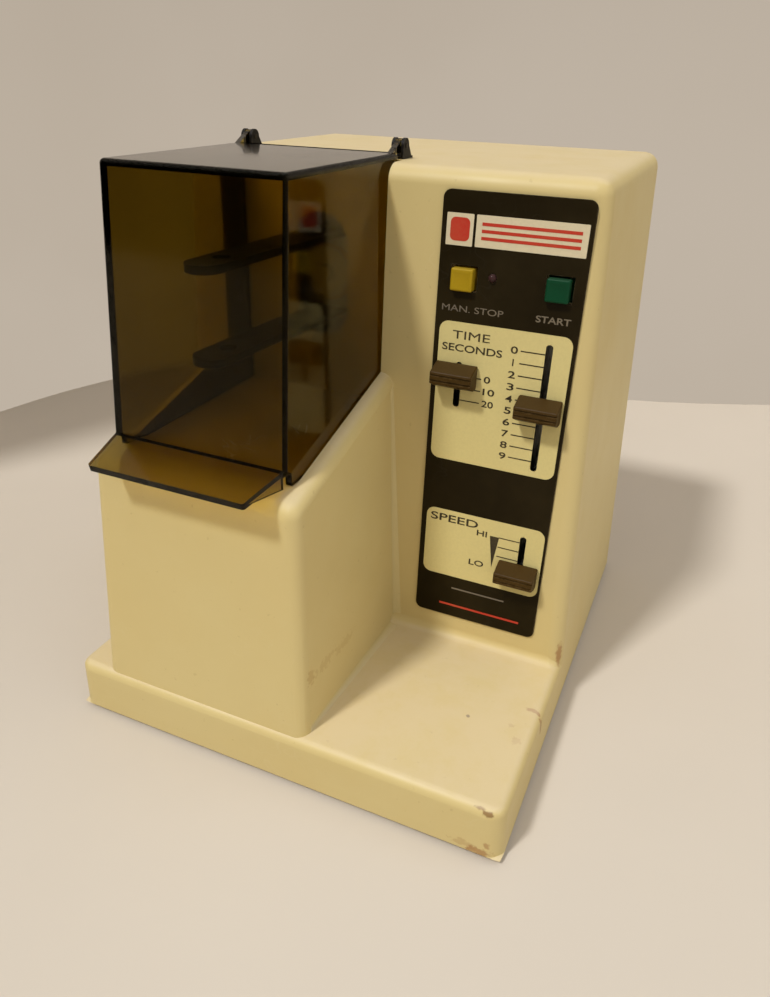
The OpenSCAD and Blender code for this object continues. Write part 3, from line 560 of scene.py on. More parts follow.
# Marks on the cream moulding: place and reach in millimetres, squeeze, shade, strength, raggedness.
MARKS = [((92.9, -21.6, 31), 2.4, (1, 1, 0.3), BROWN_CHIP, 0.8, 0.5),
         ((91, -54.3, 25), 1.3, (0.28, 1, 0.6), BROWN_CHIP, 0.75, 0.8),
         ((94, -56, 21), 1.7, (1, 0.9, 0.3), BROWN_CHIP, 0.7, 0.8),
         ((84.8, -107.9, 25.2), 1.2, (0.38, 1, 1), (0.24, 0.12, 0.03), 0.75, 0.7),
         ((88.2, -108.8, 23.8), 1.3, (0.42, 0.6, 1), (0.22, 0.11, 0.03), 0.85, 0.7),
         ((87.2, -109, 4.2), 2.3, (0.34, 1, 1), BROWN_CHIP, 0.75, 1.2),
         ((89.3, -109, 8.6), 1.5, (1, 1, 0.7), BROWN_CHIP, 0.6, 1),
         ((81, -109, 5.6), 2, (0.35, 1, 1), BROWN_CHIP, 0.35, 1.4),
         ((67.2, -68.3, 25.5), 0.95, (1, 1, 1), DARK_SPOT, 0.85, 0.5),
         ((84.1, -66, 25.5), 1.7, (1, 1, 1), PALE_STAIN, 0.45, 1.2),
         ((88.2, -72.6, 25.5), 1.9, (1, 0.8, 1), PALE_STAIN, 0.45, 1.2),
         ((14.2, -99, 50), 3, (1, 1, 0.7), PALE_STAIN, 0.42, 1.2),
         ((14.3, -88, 48.2), 2.6, (1, 0.3, 1), PALE_STAIN, 0.28, 1.5),
         ((14.4, -72, 46.5), 2.4, (1, 0.26, 1), PALE_STAIN, 0.24, 1.5)]


def cream_material(name):
    """Aged cream moulding: yellowed drift, fine grain, browned chips, rubbed edges and a painted sheen on
    upward faces.
    """
    cream = tuple(colours().cream)
    net = Finish(name, Roughness=0.5, IOR=1.5, Specular_IOR_Level=0.4)
    grain = net.group(moulded_grain_group)
    worn = net.group(edge_wear_group, Radius=0.0016, Amount=0.5, Break_up=160.0)[0]
    scuffs = net.group(scratch_group, Scale=45.0, Amount=0.5)[0]
    pale = blend(cream, (0.80, 0.72, 0.50), 0.35)
    colour = net.over(cream, grain["Drift"], 0.5, blend(cream, (0.56, 0.38, 0.12), 0.30))
    colour = net.over(colour, worn, 0.45, pale)
    colour = net.over(colour, scuffs, 0.35, pale)
    colour = net.over(colour, grain["Fleck"], 0.22, (0.34, 0.22, 0.08))
    for spot, reach, squeeze, shade, strength, ragged in MARKS:
        mark = net.group(spot_group, Place=tuple(Vector(spot) * MM), Squeeze=squeeze,
                         Reach=reach * MM, Ragged=ragged)[0]
        colour = net.over(colour, mark, strength, shade)
    # Painted sheen: upward faces are paled as the light from above would pale them, in patches that also
    # pass for settled dust.
    colour = net.over(colour, net.group(dust_group, Patch=60.0)[0], 0.38, (0.72, 0.60, 0.45))
    rubbed = net.times(scuffs, 0.2)
    rough = net.math("ADD", net.scaled(grain["Drift"], 0.10, 0.44), rubbed, clamp=True)
    return net.dress(colour, rough, grain["Height"], 0.00010, 0.55)


def smoked_material(name):
    """Smoked acrylic: light loses colour by the depth it passes, with dust and fine wiping scratches."""
    net = Finish(name, IOR=1.36, Transmission_Weight=1.0, Metallic=0.0, Roughness=0.08,
                 Specular_Tint=(0.42, 0.34, 0.18), Coat_Roughness=0.28)
    scuffs = net.group(scratch_group, Scale=40.0, Amount=0.8)[0]
    drift = net.speckle(24.0, 3, 0.5, 0.35, 0.7)
    net.dress(net.mix(drift, (0.97, 0.95, 0.90), (0.86, 0.83, 0.74)),
              net.scaled(scuffs, 0.25, 0.08), scuffs, 0.00002, 0.3)
    dusty = net.group(dust_group, Patch=90.0)[0]
    net.feed(net.shader.inputs["Coat Weight"], net.times(dusty, 0.35))
    shade = net.node("BsdfTransparent", (0.60, 0.53, 0.27))
    shown = net.node("MixShader", net.node("LightPath").outputs["Is Shadow Ray"], net.shader.outputs[0],
                     shade.outputs[0])
    depth = net.node("VolumeAbsorption", Density=1000.0, Color=tuple(colours().smoke))
    net.feed(net.end["Surface"], shown.outputs[0])
    net.feed(net.end["Volume"], depth.outputs[0])
    return net.made


def plastic_material(name, colour, rough, worn_to, dust=0.03, wear=0.4, grain_size=2200.0, bump_by=0.00006):
    """A small moulded plastic part with grain, rubbed edges and a little dust on top."""
    if isinstance(colour, str):
        colour = tuple(getattr(colours(), colour))
    net = Finish(name, IOR=1.5, Specular_IOR_Level=0.12)
    grain = net.group(moulded_grain_group, Grain=grain_size, Drift_size=60.0)
    worn = net.group(edge_wear_group, Radius=0.0006, Amount=wear, Break_up=500.0)[0]
    tone = net.over(colour, grain["Drift"], 0.35, blend(colour, (0, 0, 0), 0.35))
    tone = net.mix(worn, tone, worn_to)
    tone = net.over(tone, net.group(dust_group, Patch=700.0)[0], dust, (0.5, 0.46, 0.38))
    return net.dress(tone, net.scaled(grain["Drift"], 0.12, rough), grain["Height"], bump_by, 0.6)


def metal_material(name, colour, rough, brushed, amount, tarnish=(0.25, 0.2, 0.15)):
    """Metal with a brushed or cast surface and patches of tarnish."""
    net = Finish(name, Metallic=1.0)
    streak = net.noise(net.node("Mapping", Vector=net.place, Scale=brushed).outputs[0], 500.0, 3, 0.6)
    patch = net.speckle(70.0, 5, 0.65, 0.5, 0.75)
    tone = net.over(colour, patch, amount, tarnish)
    tone = net.over(tone, net.ramp(streak, 0.3, 0.7), 0.2, blend(colour, (0, 0, 0), 0.3))
    return net.dress(tone, net.scaled(patch, 0.2, rough), streak, 0.00003, 0.5)


def film_material(name):
    """Printed film: near black, with a satin skin, faint stipple and fine wiping marks."""
    black = tuple(colours().black)
    net = Finish(name, IOR=1.5, Specular_IOR_Level=0.08)
    scuffs = net.group(scratch_group, Scale=50.0, Amount=0.7)[0]
    worn = net.group(edge_wear_group, Radius=0.0005, Amount=0.6, Break_up=400.0)[0]
    drift = net.speckle(35.0, 4, 0.6, 0.35, 0.7)
    tone = net.mix(drift, black, blend(black, (0.05, 0.035, 0.012), 0.2))
    tone = net.over(tone, worn, 0.5, (0.22, 0.17, 0.10))
    tone = net.over(tone, scuffs, 0.05, (0.2, 0.18, 0.14))
    return net.dress(tone, net.scaled(drift, 0.12, 0.36), net.noise(net.place, 2600.0, 2, 0.5), 0.00002, 0.5)


def ink_material(name, colour):
    """Screen-printed ink, a little worn through and uneven."""
    net = Finish(name, IOR=1.48, Specular_IOR_Level=0.2)
    patchy = net.speckle(900.0, 5, 0.7, 0.35, 0.75)
    broad = net.speckle(40.0, 3, 0.5, 0.35, 0.7)
    tone = net.over(colour, patchy, 0.25, blend(colour, (0.25, 0.2, 0.1), 0.4))
    tone = net.over(tone, broad, 0.25, blend(colour, (0.45, 0.34, 0.12), 0.35))
    return net.dress(tone, net.scaled(broad, 0.1, 0.45), patchy, 0.00001, 0.4)


def winding_material(name):
    """Enamelled copper wire wound in close turns."""
    net = Finish(name, Metallic=0.9)
    wave = net.node("TexWave", wave_type="BANDS", bands_direction="Z", Vector=net.place, Scale=420.0,
                    Distortion=0.6).outputs["Fac"]
    tone = net.mix(wave, (0.20, 0.06, 0.02), (0.55, 0.24, 0.09))
    return net.dress(tone, net.scaled(wave, 0.1, 0.3), wave, 0.0002, 0.7)


def board_material(name):
    """Green circuit board with faint copper tracks under the lacquer."""
    net = Finish(name, Coat_Weight=0.4)
    cells = net.node("TexVoronoi", feature="DISTANCE_TO_EDGE", Vector=net.place, Scale=160.0)
    track = net.ramp(cells.outputs["Distance"], 0.03, 0.07, 1.0, 0.0)
    tone = net.mix(track, (0.02, 0.12, 0.04), (0.10, 0.26, 0.10))
    return net.dress(tone, net.scaled(track, 0.1, 0.35), track, 0.00003, 0.5)


# Every finish: its maker, then what the maker takes. A word for a colour is one a user may set.
FINISHES = {
    "cream_plastic": (cream_material,),
    "smoked_plastic": (smoked_material,),
    "label_film": (film_material,),
    "board_green": (board_material,),
    "copper_winding": (winding_material,),
    "brown_plastic": (plastic_material, "brown", 0.36, (0.13, 0.075, 0.025), 0.01),
    "yellow_plastic": (plastic_material, "yellow", 0.42, (0.55, 0.42, 0.12)),
    "green_plastic": (plastic_material, "green", 0.42, (0.03, 0.13, 0.08)),
    "red_lens": (plastic_material, (0.05, 0.022, 0.02), 0.12, (0.2, 0.1, 0.1), 0.03, 0.1),
    "black_plastic": (plastic_material, (0.012, 0.010, 0.009), 0.4, (0.08, 0.07, 0.06)),
    "black_rubber": (plastic_material, (0.014, 0.013, 0.012), 0.7, (0.06, 0.055, 0.05), 0.03, 0.4, 900.0,
                     0.0002),
    "cream_ink": (ink_material, (0.66, 0.55, 0.23)),
    "white_ink": (ink_material, (0.68, 0.58, 0.38)),
    "grey_ink": (ink_material, (0.16, 0.13, 0.095)),
    "dark_ink": (ink_material, (0.03, 0.022, 0.012)),
    "red_ink": (ink_material, (0.5, 0.035, 0.018)),
    "plated_steel": (metal_material, (0.56, 0.54, 0.48), 0.32, (1, 30, 1), 0.4),
    "bright_steel": (metal_material, (0.72, 0.72, 0.7), 0.18, (30, 1, 1), 0.15),
    "black_steel": (metal_material, (0.030, 0.026, 0.022), 0.42, (1, 1, 1), 0.35, (0.1, 0.07, 0.05)),
    "cast_alloy": (metal_material, (0.5, 0.49, 0.46), 0.45, (1, 1, 1), 0.4),
    "lamination": (metal_material, (0.26, 0.26, 0.27), 0.4, (1, 40, 1), 0.4),
    "bronze": (metal_material, (0.6, 0.42, 0.2), 0.3, (1, 1, 1), 0.5, (0.28, 0.16, 0.07)),
}
MATERIALS = {}


def material(name):
    """A finish by name, made the first time it is asked for."""
    if name not in MATERIALS:
        maker, *given = FINISHES[name]
        MATERIALS[name] = maker(name, *given)
    return MATERIALS[name]


# ---- piece helpers


def copy_of(obj, name, move):
    """A copy with its own mesh, moved in millimetres."""
    only(obj)
    bpy.ops.object.duplicate_move(TRANSFORM_OT_translate={"value": Vector(move) * MM})
    return settle(bpy.context.object, name)


def panel_plate(name, u0, v0, u1, v1, w0, w1, radius, segments=6):
    """A round-cornered plate on the panel between two heights, in millimetres."""
    plate = cube(name, (u0, v0, w0), (u1, v1, w1))
    return to_panel(round_edges(plate, lambda c, e: along(e, 2), radius * MM, segments))


def refine(node, name, finish, body="chassis", slot=None, edge=0.3, angle=40, segments=2):
    """A merged copy of a CAD node with softened edges and smooth shading, shown in its place. Its slot is
    handed on and not used."""
    obj = bpy.data.objects.new(name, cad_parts[node].data.copy())
    bpy.context.scene.collection.objects.link(obj)
    edit(obj)
    bpy.ops.mesh.remove_doubles(threshold=DOUBLE)
    bpy.ops.mesh.dissolve_limited(angle_limit=math.radians(1.0))
    only(obj)
    if edge:
        soften(obj, edge, segments, angle)
    return finish_piece(smooth(obj, 38), finish, body, slot or finish, node)


class Piece(bpy.types.Operator):
    """Base of the operators that make the pieces."""

    bl_options = {"REGISTER", "UNDO"}

    def execute(self, context):
        self.make(context)
        return {"FINISHED"}


# ---- housing


def tower_block(name, z0, z1, half, front, back):
    """A block across the tower's middle line. half and front say its half width and its front at
    each of its two heights."""
    lo0, lo1 = [(TOWER_X - x, y) for x, y in zip(half, front)]
    hi0, hi1 = [(TOWER_X + x, back) for x in half]
    return block(name, z0, lo0, hi0, z1, lo1, hi1)


def raised_block(name, inset):
    """The plinth with the drafted main block raised from its rear part, every wall moved in."""
    z0 = FOOT_Z - inset
    z1, z2 = LEDGE_Z - inset, TOP_Z - inset
    foot_y = panel_y(z1) + inset
    low, ledge, top = side_x(FOOT_Z) - inset, side_x(z1) - inset, side_x(z2) - inset
    obj = block(name, z0, (-low, FRONT_Y + inset), (low, BACK_Y - inset),
                z1, (-ledge, FRONT_Y + inset), (ledge, rear_y(z1) - inset))
    pick(obj, "faces", lambda c, f: True)
    bpy.ops.mesh.bisect(plane_co=(0, foot_y * MM, 0), plane_no=(0, 1, 0))
    pick(obj, "faces", lambda c, f: f.normal.z > 0.9 and c.y > foot_y)
    extrude((0, 0, (z2 - z1) * MM))
    depth = (rear_y(z2) - panel_y(z2) - 2 * inset) / (rear_y(z1) - inset - foot_y)
    bpy.ops.transform.resize(value=(top / ledge, depth, 1), center_override=(0, foot_y * MM, z2 * MM))
    bpy.ops.transform.translate(value=(0, (panel_y(z2) + inset - foot_y) * MM, 0))
    select_all()
    bpy.ops.mesh.dissolve_limited(angle_limit=math.radians(0.1))
    return tidy_mesh(obj)


def round_marked(obj):
    """Rounds the weighted edges, weight 1 giving the full corner round, and forgets the weights."""
    modifier(obj, "BEVEL", width=sizes().corner_round, segments=5, limit_method="WEIGHT",
             use_clamp_overlap=False, loop_slide=True)
    return weigh(obj, lambda c, e: True, 0)


def main_form():
    """Plinth and main block with their outer edges and the foot of the panel rounded."""
    s = sizes()
    block_form = raised_block("housing_shell", 0)
    top, fillet = s.top_round / s.corner_round, s.fillet / s.corner_round
    ledge = lambda c: abs(c.z - LEDGE_Z) < 0.5
    for test, weight in ((lambda c, e: along(e, 2), 0.8), (lambda c, e: c.z > TOP_Z - 1, top),
                         (lambda c, e: ledge(c) and e.is_convex, 0.5),
                         (lambda c, e: ledge(c) and not e.is_convex, fillet),
                         (lambda c, e: c.z < FOOT_Z + 1, 0.07)):
        weigh(block_form, test, weight)
    return round_marked(block_form)


def tower_form():
    """Tower with its rim rising towards the back, its edges rounded, sunk into the main block."""
    low, high, back = LEDGE_Z - 4, 120.5, 20
    tower = tower_block("tower_form", low, high, (tower_half(low), tower_half(high)),
                        (tower_y(low), tower_y(high)), back)
    rise = (back - tower_y(high)) * RIM_SLOPE
    pick(tower, "edges", lambda c, e: c.z > high - 1 and c.y > back - 1)
    shrink = tower_half(high + rise) / tower_half(high)
    bpy.ops.transform.resize(value=(shrink, 1, 1), center_override=(TOWER_X * MM, back * MM, high * MM))
    bpy.ops.transform.translate(value=(0, 0, rise * MM))
    weigh(tower, lambda c, e: c.y < back - 1 and c.z > low + 1, 0.62)
    return round_marked(tower)


def outer_form():
    """The housing's outside with the tower joined on and the corners beside it filleted."""
    shell = main_form()
    cut(shell, tower_form(), how="UNION")
    tidy_mesh(shell)
    s = sizes()
    inside = lambda c, e: (not e.is_convex and e.calc_face_angle(0) > math.radians(30) and c.z < 130
                           and e.calc_length() > 20 * MM)
    weigh(shell, inside, s.fillet / s.corner_round)
    weigh(shell, lambda c, e: inside(c, e) and c.y < -100, 0.12)
    return round_marked(shell)


def chamber_form(name, wall=0):
    """The space of the mixing chamber, open to the front and top, made larger by a wall."""
    half = CHAMBER_HALF + wall
    return cube(name, (TOWER_X - half, -180, DECK_Z - wall), (TOWER_X + half, CHAMBER_Y + wall, 260))


def inner_form():
    """The hollow inside the walls, less a wall's thickness round the chamber."""
    rear = raised_block("hollow_form", WALL)
    low, high = 14.0, 114.0
    tower = tower_block("hollow_tower", low, high, [tower_half(z) - WALL for z in (low, high)],
                        [tower_y(z) + WALL for z in (low, high)], 18)
    cut(rear, tower, how="UNION")
    return cut(rear, chamber_form("chamber_wall", WALL))


def panel_openings():
    """Cutters for the slider slots, the buttons and the lamp."""
    tools = [panel_plate(f"slot_cut_{i}", u - 3, v0 - 1.5, u + 3, v1 + 1.5, -12, 5, 2.9)
             for i, (u, v0, v1) in enumerate(SLOTS)]
    for i, (u, v) in enumerate(BUTTONS):
        tools.append(panel_plate(f"button_cut_{i}", u - 4.9, v - 4.6, u + 4.9, v + 4.6, -12, 5, 0.4, 2))
    tools.append(to_panel(rod("lamp_cut", 1.6, 20, (47, 158.8, 0), "Z", 24)))
    return tools


class MIXER_OT_housing(Piece):
    """Moulded housing: drafted walls, rounded edges, filleted inside corners and every opening"""

    bl_idname = "mixer.housing"
    bl_label = "Housing"

    def make(self, context):
        shell = outer_form()
        cut(shell, inner_form(), chamber_form("chamber_form"))
        for x in (-36, 36):
            for z in (-32, 32):
                boss = rod("boss_form", 5, 28.4, (TOWER_X + x, CHAMBER_Y + 16.7, 173.5 + z), "Y", 24)
                cut(shell, boss, how="UNION")
        cut(shell, *panel_openings())
        port = cube("port_cut", (TOWER_X - 12, -6, 148.5), (TOWER_X + 12, 6, 198.5))
        cut(shell, round_edges(port, lambda c, e: along(e, 1), 11.8 * MM, 10))
        first = cube("vent_cut", (TOWER_X - 43.5, 90, 150.5), (TOWER_X - 40.5, 115, 196.5))
        round_edges(first, lambda c, e: along(e, 1), 3 * MM * 0.49, 6)
        rest = [copy_of(first, f"vent_cut_{i}", (i * 7, 0, 0)) for i in range(1, 13)]
        cut(shell, join("vent_cuts", [first, *rest]), rod("gland_cut", 6.3, 30, (-60, 108, 26), "Y"))
        finish_piece(smooth(shell, 32, mend=True), "cream_plastic", "chassis", "cream_plastic", "housing")


# ---- cover


def cover_front(z):
    """Depth of the cover's front at a height."""
    return -84.6 - (222 - z) * math.tan(math.radians(5.9))


def cover_block(name, z0, z1, inset, back):
    """The cover's tapered box between two heights, every wall moved in."""
    half = [36 - (z - 124) * 1.5 / 98 - inset for z in (z0, z1)]
    front = [cover_front(z) + inset for z in (z0, z1)]
    return tower_block(name, z0, z1, half, front, back)


class MIXER_OT_cover(Piece):
    """Smoked cover: thin walls open behind and below, a turned-out lip and two hinge lugs"""

    bl_idname = "mixer.cover"
    bl_label = "Cover"

    def make(self, context):
        wall = sizes().cover_wall / MM
        cover = cover_block("smoked_cover", 124, 222, 0, -4)
        weigh(cover, lambda c, e: (c.z > 221 or c.y < -80) and c.z > 125 and c.y < -5, 1)
        gap = cube("grip_cut", (TOWER_X - 50, -130, 110), (TOWER_X + 50, -90.5, 129.0))
        cut(cover, cover_block("cover_room", 112, 222 - wall, wall, 8), gap)
        root = cover_front(131.5) + 2.5
        over = root - (FRONT_Y - 4.5)
        tilt = math.atan(4.3 / over)
        reach = over / math.cos(tilt)
        half, edge = 35.0, 31.4
        flat = ((-half, 0), (half, 0), (half, -2.5), (edge, -reach), (-edge, -reach), (-half, -2.5))
        lip = outline("lip_form", [(*p, -2.5) for p in flat], (0, 0, 2.5))
        round_edges(lip, lambda c, e: along(e, 2) and c.y < -3, 0.9 * MM, 3)
        lip.matrix_world = turned((TOWER_X, root, 131.5), tilt, "X")
        rib = outline("end_rib", [(TOWER_X + a, b, c) for a, b, c in (
            (34.9, -94.5, 130.5), (34.9, -94.5, 124.2), (31.3, -112.0, 125.6), (31.3, -112.0, 126.6))],
            (-1.4, 0, 0))
        cut(cover, settle(lip), rib, how="UNION")
        for side in (-1, 1):
            x = TOWER_X + side * HINGE_DX - 1.1
            lug = outline("lug_form", [(x, -10, 220.75), (x, -5, 219.5), (x, -3.4, 221.6), (x, 1.8, 221.6),
                                       (x, 1.8, 226.3), (x, 0, 225.9)], (2.2, 0, 0))
            cut(cover, lug, rod("lug_round", 2.5, 2.22, (x + 1.1, HINGE_Y, HINGE_Z), "X", 32), how="UNION")
            cut(cover, rod("lug_bore", 1.3, 8, (x + 1.1, HINGE_Y, HINGE_Z), "X", 24))
        modifier(cover, "BEVEL", width=1.6 * MM, segments=4, limit_method="WEIGHT", use_clamp_overlap=False)
        finish_piece(smooth(cover, 32, mend=True), "smoked_plastic", "cover", "smoked_plastic", "cover")


# ---- control label and its printing


def printed_line(u0, v0, u1, v1, width=0.42):
    """A thin line on the label."""
    way = Vector((u1 - u0, v1 - v0, 0))
    top = LABEL_T + 2 * (sizes().print_rise / MM)
    obj = cube("line", (0, -width / 2, LABEL_T), (way.length, width / 2, top))
    obj.matrix_world = turned((u0, v0, 0), math.atan2(way.y, way.x), "Z")
    return to_panel(settle(obj))


def printed_word(text, u, v, height, width=None, centred=False, bold=0.05):
    """A word on the label with its lower corner, or its foot's middle, at u, v. It is as wide as it
    comes, or width. Bold letters with an M come out broken."""
    clear()
    rise = sizes().print_rise / MM
    bpy.ops.object.text_add(location=(0, 0, 0))
    word = bpy.context.object
    word.data.body = text
    word.data.size = height / 0.69
    word.data.offset = bold
    word.data.resolution_u = 4
    word.data.extrude = rise / 2
    bpy.ops.object.convert(target="MESH")
    word = bpy.context.object
    low = Vector([min(c[i] for c in word.bound_box) for i in range(3)])
    high = Vector([max(c[i] for c in word.bound_box) for i in range(3)])
    stretch = width / (high.x - low.x) if width else 1.0
    shift = (low.x + high.x) / 2 if centred else low.x
    word.matrix_world = (Matrix.Diagonal((MM, MM, MM, 1)) @ Matrix.Translation((u, v, LABEL_T + 1.5 * rise))
                         @ Matrix.Diagonal((stretch, 1, 1, 1)) @ Matrix.Translation((-shift, -low.y, 0)))
    return to_panel(settle(word))


def print_piece(name, parts, ink):
    """Joins printed parts into one piece on the chassis."""
    obj = join(name, parts)
    edit(obj)
    bpy.ops.mesh.remove_doubles(threshold=0.000001)
    return finish_piece(only(obj), ink, "chassis", "label_film")


class MIXER_OT_label(Piece):
    """Control label: dark film with pale plates, scales, plain control words and colour bars"""

    bl_idname = "mixer.label"
    bl_label = "Control label"

    def make(self, context):
        refine("control_label", "label_film", "label_film", edge=0.18, angle=60)
        rise = sizes().print_rise / MM
        base, top = LABEL_T, LABEL_T + rise
        time_plate = panel_plate("time_plate", 28.4, 85.6, 79.0, 141.6, base, top, 3.6)
        speed_plate = panel_plate("speed_plate", 28.7, 31.4, 79.4, 62.9, base, top, 3.6)
        for plate, (u, v0, v1) in zip((time_plate, time_plate, speed_plate), SLOTS):
            cut(plate, panel_plate("plate_cut", u - 1.3, v0, u + 1.3, v1, 0, 3, 1.28))
        print_piece("printed_plates", [time_plate, speed_plate], "cream_ink")
        print_piece("printed_strip", [
            panel_plate("strip_left", 28.3, 168.8, 38.3, 179.8, base, top, 0.3, 2),
            panel_plate("strip_right", 39.3, 168.9, 78.8, 179.8, base, top, 0.3, 2)], "white_ink")
        print_piece("printed_red", [
            panel_plate("strip_block", 29.8, 170.4, 37.0, 178.4, top, top + rise, 1.8),
            *[printed_line(41.5, v, 76.6, v, 1.1) for v in (172.0, 174.4, 176.8)],
            printed_line(37.5, 16.8, 73.5, 16.8, 0.9)], "red_ink")
        print_piece("printed_grey", [
            printed_word("MAN. STOP", 28.8, 145.4, 2.3, 23.6, bold=0.0),
            printed_word("START", 64.4, 145.5, 2.3, 12.6),
            printed_line(42.5, 25.6, 66.0, 25.6, 0.6)], "grey_ink")
        dark = [printed_word("TIME", 33.8, 135.3, 3.1, 14.6, bold=0.0)]
        dark += [printed_word(*word) for word in (
            ("SECONDS", 30.0, 130.5, 2.7, 23.6), ("SPEED", 30.6, 57.4, 3.3, 20.8),
            ("HI", 51.2, 54.4, 2.5, 4.4), ("LO", 49.0, 39.7, 2.6, 6.4))]
        for i in range(10):
            v = 134.2 - i * 4.70
            dark.append(printed_word(str(i), 58.0, v - 1.3, 2.6, None if i == 1 else 2.7, True))
            dark.append(printed_line(60.4, v, 69.6, v))
        for text, v in (("0", 121.1), ("10", 116.3), ("20", 111.5)):
            dark.append(printed_word(text, 47.6, v - 1.25, 2.5, 2.5 if text == "0" else 4.6))
            dark.append(printed_line(38.5, v, 46.6, v))
        dark += [printed_line(60.6, v, 69.6, v) for v in (55.6, 51.2, 46.8)]
        dark.append(to_panel(outline("wedge", [(56.9, 55.6, LABEL_T), (58.9, 40.9, LABEL_T),
                                               (60.8, 55.6, LABEL_T)], (0, 0, 2 * rise))))
        print_piece("printed_scales", dark, "dark_ink")


# ---- knobs, buttons and lamp


def slider_knob(name, u, v, body, node, drop=0.8):
    """A slab knob, thinner towards its tip, with two grooves along its front. It hangs a little
    below its stem."""
    foot, out, half = LABEL_T + 0.5, 9.5, 8.2
    side = [(foot, -4.8), (foot, 4.4), (foot + 1.6, 4.4), (out, 2.0), (out, -2.6), (foot + 3.2, -4.8)]
    knob = outline(name, [(u - 0.5 - half, v - drop + q, w) for w, q in side], (2 * half, 0, 0))
    soften(knob, 0.5, 3, 25)
    for q in (v - drop - 1.35, v - drop + 0.75):
        cut(knob, cube("groove", (u - 12, q - 0.4, out - 0.45), (u + 12, q + 0.4, out + 1)))
    cut(knob, cube("stem_hole", (u - 0.8, v - 2, 0), (u + 0.8, v + 2, STEM_TOP + 0.2)))
    return finish_piece(smooth(to_panel(knob), 32, mend=True), "brown_plastic", body, "brown_plastic", node)


def button_cap(name, u, v, finish):
    """A square push-button with a dished face, its flange and plunger behind."""
    cap = cube(f"{name}_cap", (u - 4.5, v - 4.3, -6), (u + 3.9, v + 3.8, 3.4))
    round_edges(cap, lambda c, e: c.z > 3 or along(e, 2), 0.7 * MM, 4)
    pick(cap, "faces", lambda c, f: c.z > 3.3 and f.normal.z > 0.99)
    bpy.ops.mesh.inset(thickness=0.9 * MM, depth=0)
    bpy.ops.mesh.inset(thickness=0.5 * MM, depth=-0.35 * MM)
    only(cap)
    flange = cube("flange_form", (u - 6, v - 5.7, -4.7), (u + 6, v + 5.7, -3.3))
    cut(cap, flange, rod("plunger_form", 1.5, 7, (u, v, -8.5), "Z", 24), how="UNION")
    return finish_piece(smooth(to_panel(cap), 35, mend=True), finish, name, finish, name)


class MIXER_OT_controls(Piece):
    """Slider knobs with grooved fronts, two square push-buttons and the lamp"""

    bl_idname = "mixer.controls"
    bl_label = "Knobs, buttons and lamp"

    def make(self, context):
        slider_knob("tens_slider_knob", 37.3, 122.5, "tens_slider", "tens_knob")
        slider_knob("units_slider_knob", 70.8, 114.5, "units_slider", "units_knob")
        slider_knob("speed_slider_knob", 70.8, 43, "speed_slider", "speed_knob", 1.4)
        button_cap("stop_button", *BUTTONS[0], "yellow_plastic")
        button_cap("start_button", *BUTTONS[1], "green_plastic")
        refine("indicator_lens", "lamp_lens", "red_lens", edge=0.1)
        for name in ("tens", "units", "speed"):
            stem = refine(f"{name}_stem", f"{name}_slider_stem", "bright_steel", f"{name}_slider", edge=0.15)
            cut(stem, to_panel(cube("stem_tip", (0, 0, STEM_TOP), (100, 170, 30))))


# ---- hinges, arm, works, base


def hinge_fork(name, x):
    """Two slim rounded ears on a short foot, bored for the hinge pin."""
    y, z, r, inner, ear = HINGE_Y, HINGE_Z, 2.7, 1.35, 1.15
    fork = cube(name, (x - inner - ear, y - r, TOP_Z), (x + inner + ear, y + 6.5, TOP_Z + 0.8))
    for x0 in (x - inner - ear, x + inner):
        web = outline("ear_form", [(x0, y - r, z), (x0, y - r, TOP_Z + 0.2), (x0, y + 5.6, TOP_Z + 0.2),
                                   (x0, y + r, z)], (ear, 0, 0))
        cut(fork, web, rod("ear_round", r + 0.02, ear + 0.02, (x0 + ear / 2, y, z), "X", 32), how="UNION")
    cut(fork, rod("pin_bore", 1.06, 9, (x, y, z), "X", 24))
    return smooth(soften(tidy_mesh(fork), 0.22, 2, 50), 35)


def hinge_rod(name, x):
    """A headed hinge pin."""
    pin = rod(name, 1.0, 5.3, (x, HINGE_Y, HINGE_Z), "X", 32)
    pick(pin, "faces", lambda c, f: abs(f.normal.x) > 0.9)
    bpy.ops.mesh.inset(thickness=0.2 * MM, depth=0.15 * MM)
    return smooth(pin, 35, mend=True)


class MIXER_OT_hinges(Piece):
    """Black hinge forks on the top and their pins"""

    bl_idname = "mixer.hinges"
    bl_label = "Hinges"

    def make(self, context):
        for side, name in ((-1, "left"), (1, "right")):
            x = TOWER_X + side * HINGE_DX
            finish_piece(hinge_fork(f"hinge_fork_{name}", x), "black_plastic", "chassis", "black_steel",
                         f"hinge_bracket_{name}")
            finish_piece(hinge_rod(f"hinge_rod_{name}", x), "black_steel", "chassis", "bright_steel",
                         f"hinge_pin_{name}")


class MIXER_OT_arm(Piece):
    """Capsule fork: arm block, two dark prongs, screws, hub, bush and springs"""

    bl_idname = "mixer.arm"
    bl_label = "Mixing arm"

    def make(self, context):
        for node, name, finish, body, edge, segments in (
                ("upper_prong", "upper_prong_blade", "black_steel", "arm", 0.6, 3),
                ("lower_prong", "lower_prong_blade", "black_steel", "arm", 0.6, 3),
                ("mixing_arm", "arm_block", "cast_alloy", "arm", 0.3, 2),
                ("arm_bush", "arm_bush_ring", "bronze", "arm", 0.4, 2),
                ("prong_screws", "prong_screw_heads", "plated_steel", "arm", 0.2, 2),
                ("arm_spring_left", "return_spring_left", "bright_steel", "chassis", 0, 2),
                ("arm_spring_right", "return_spring_right", "bright_steel", "chassis", 0, 2),
                ("wobble_hub", "wobble_hub_turned", "bright_steel", "drive", 0.3, 2),
                ("hub_screw", "hub_screw_head", "plated_steel", "drive", 0.2, 2)):
            refine(node, name, finish, body, edge=edge, segments=segments)


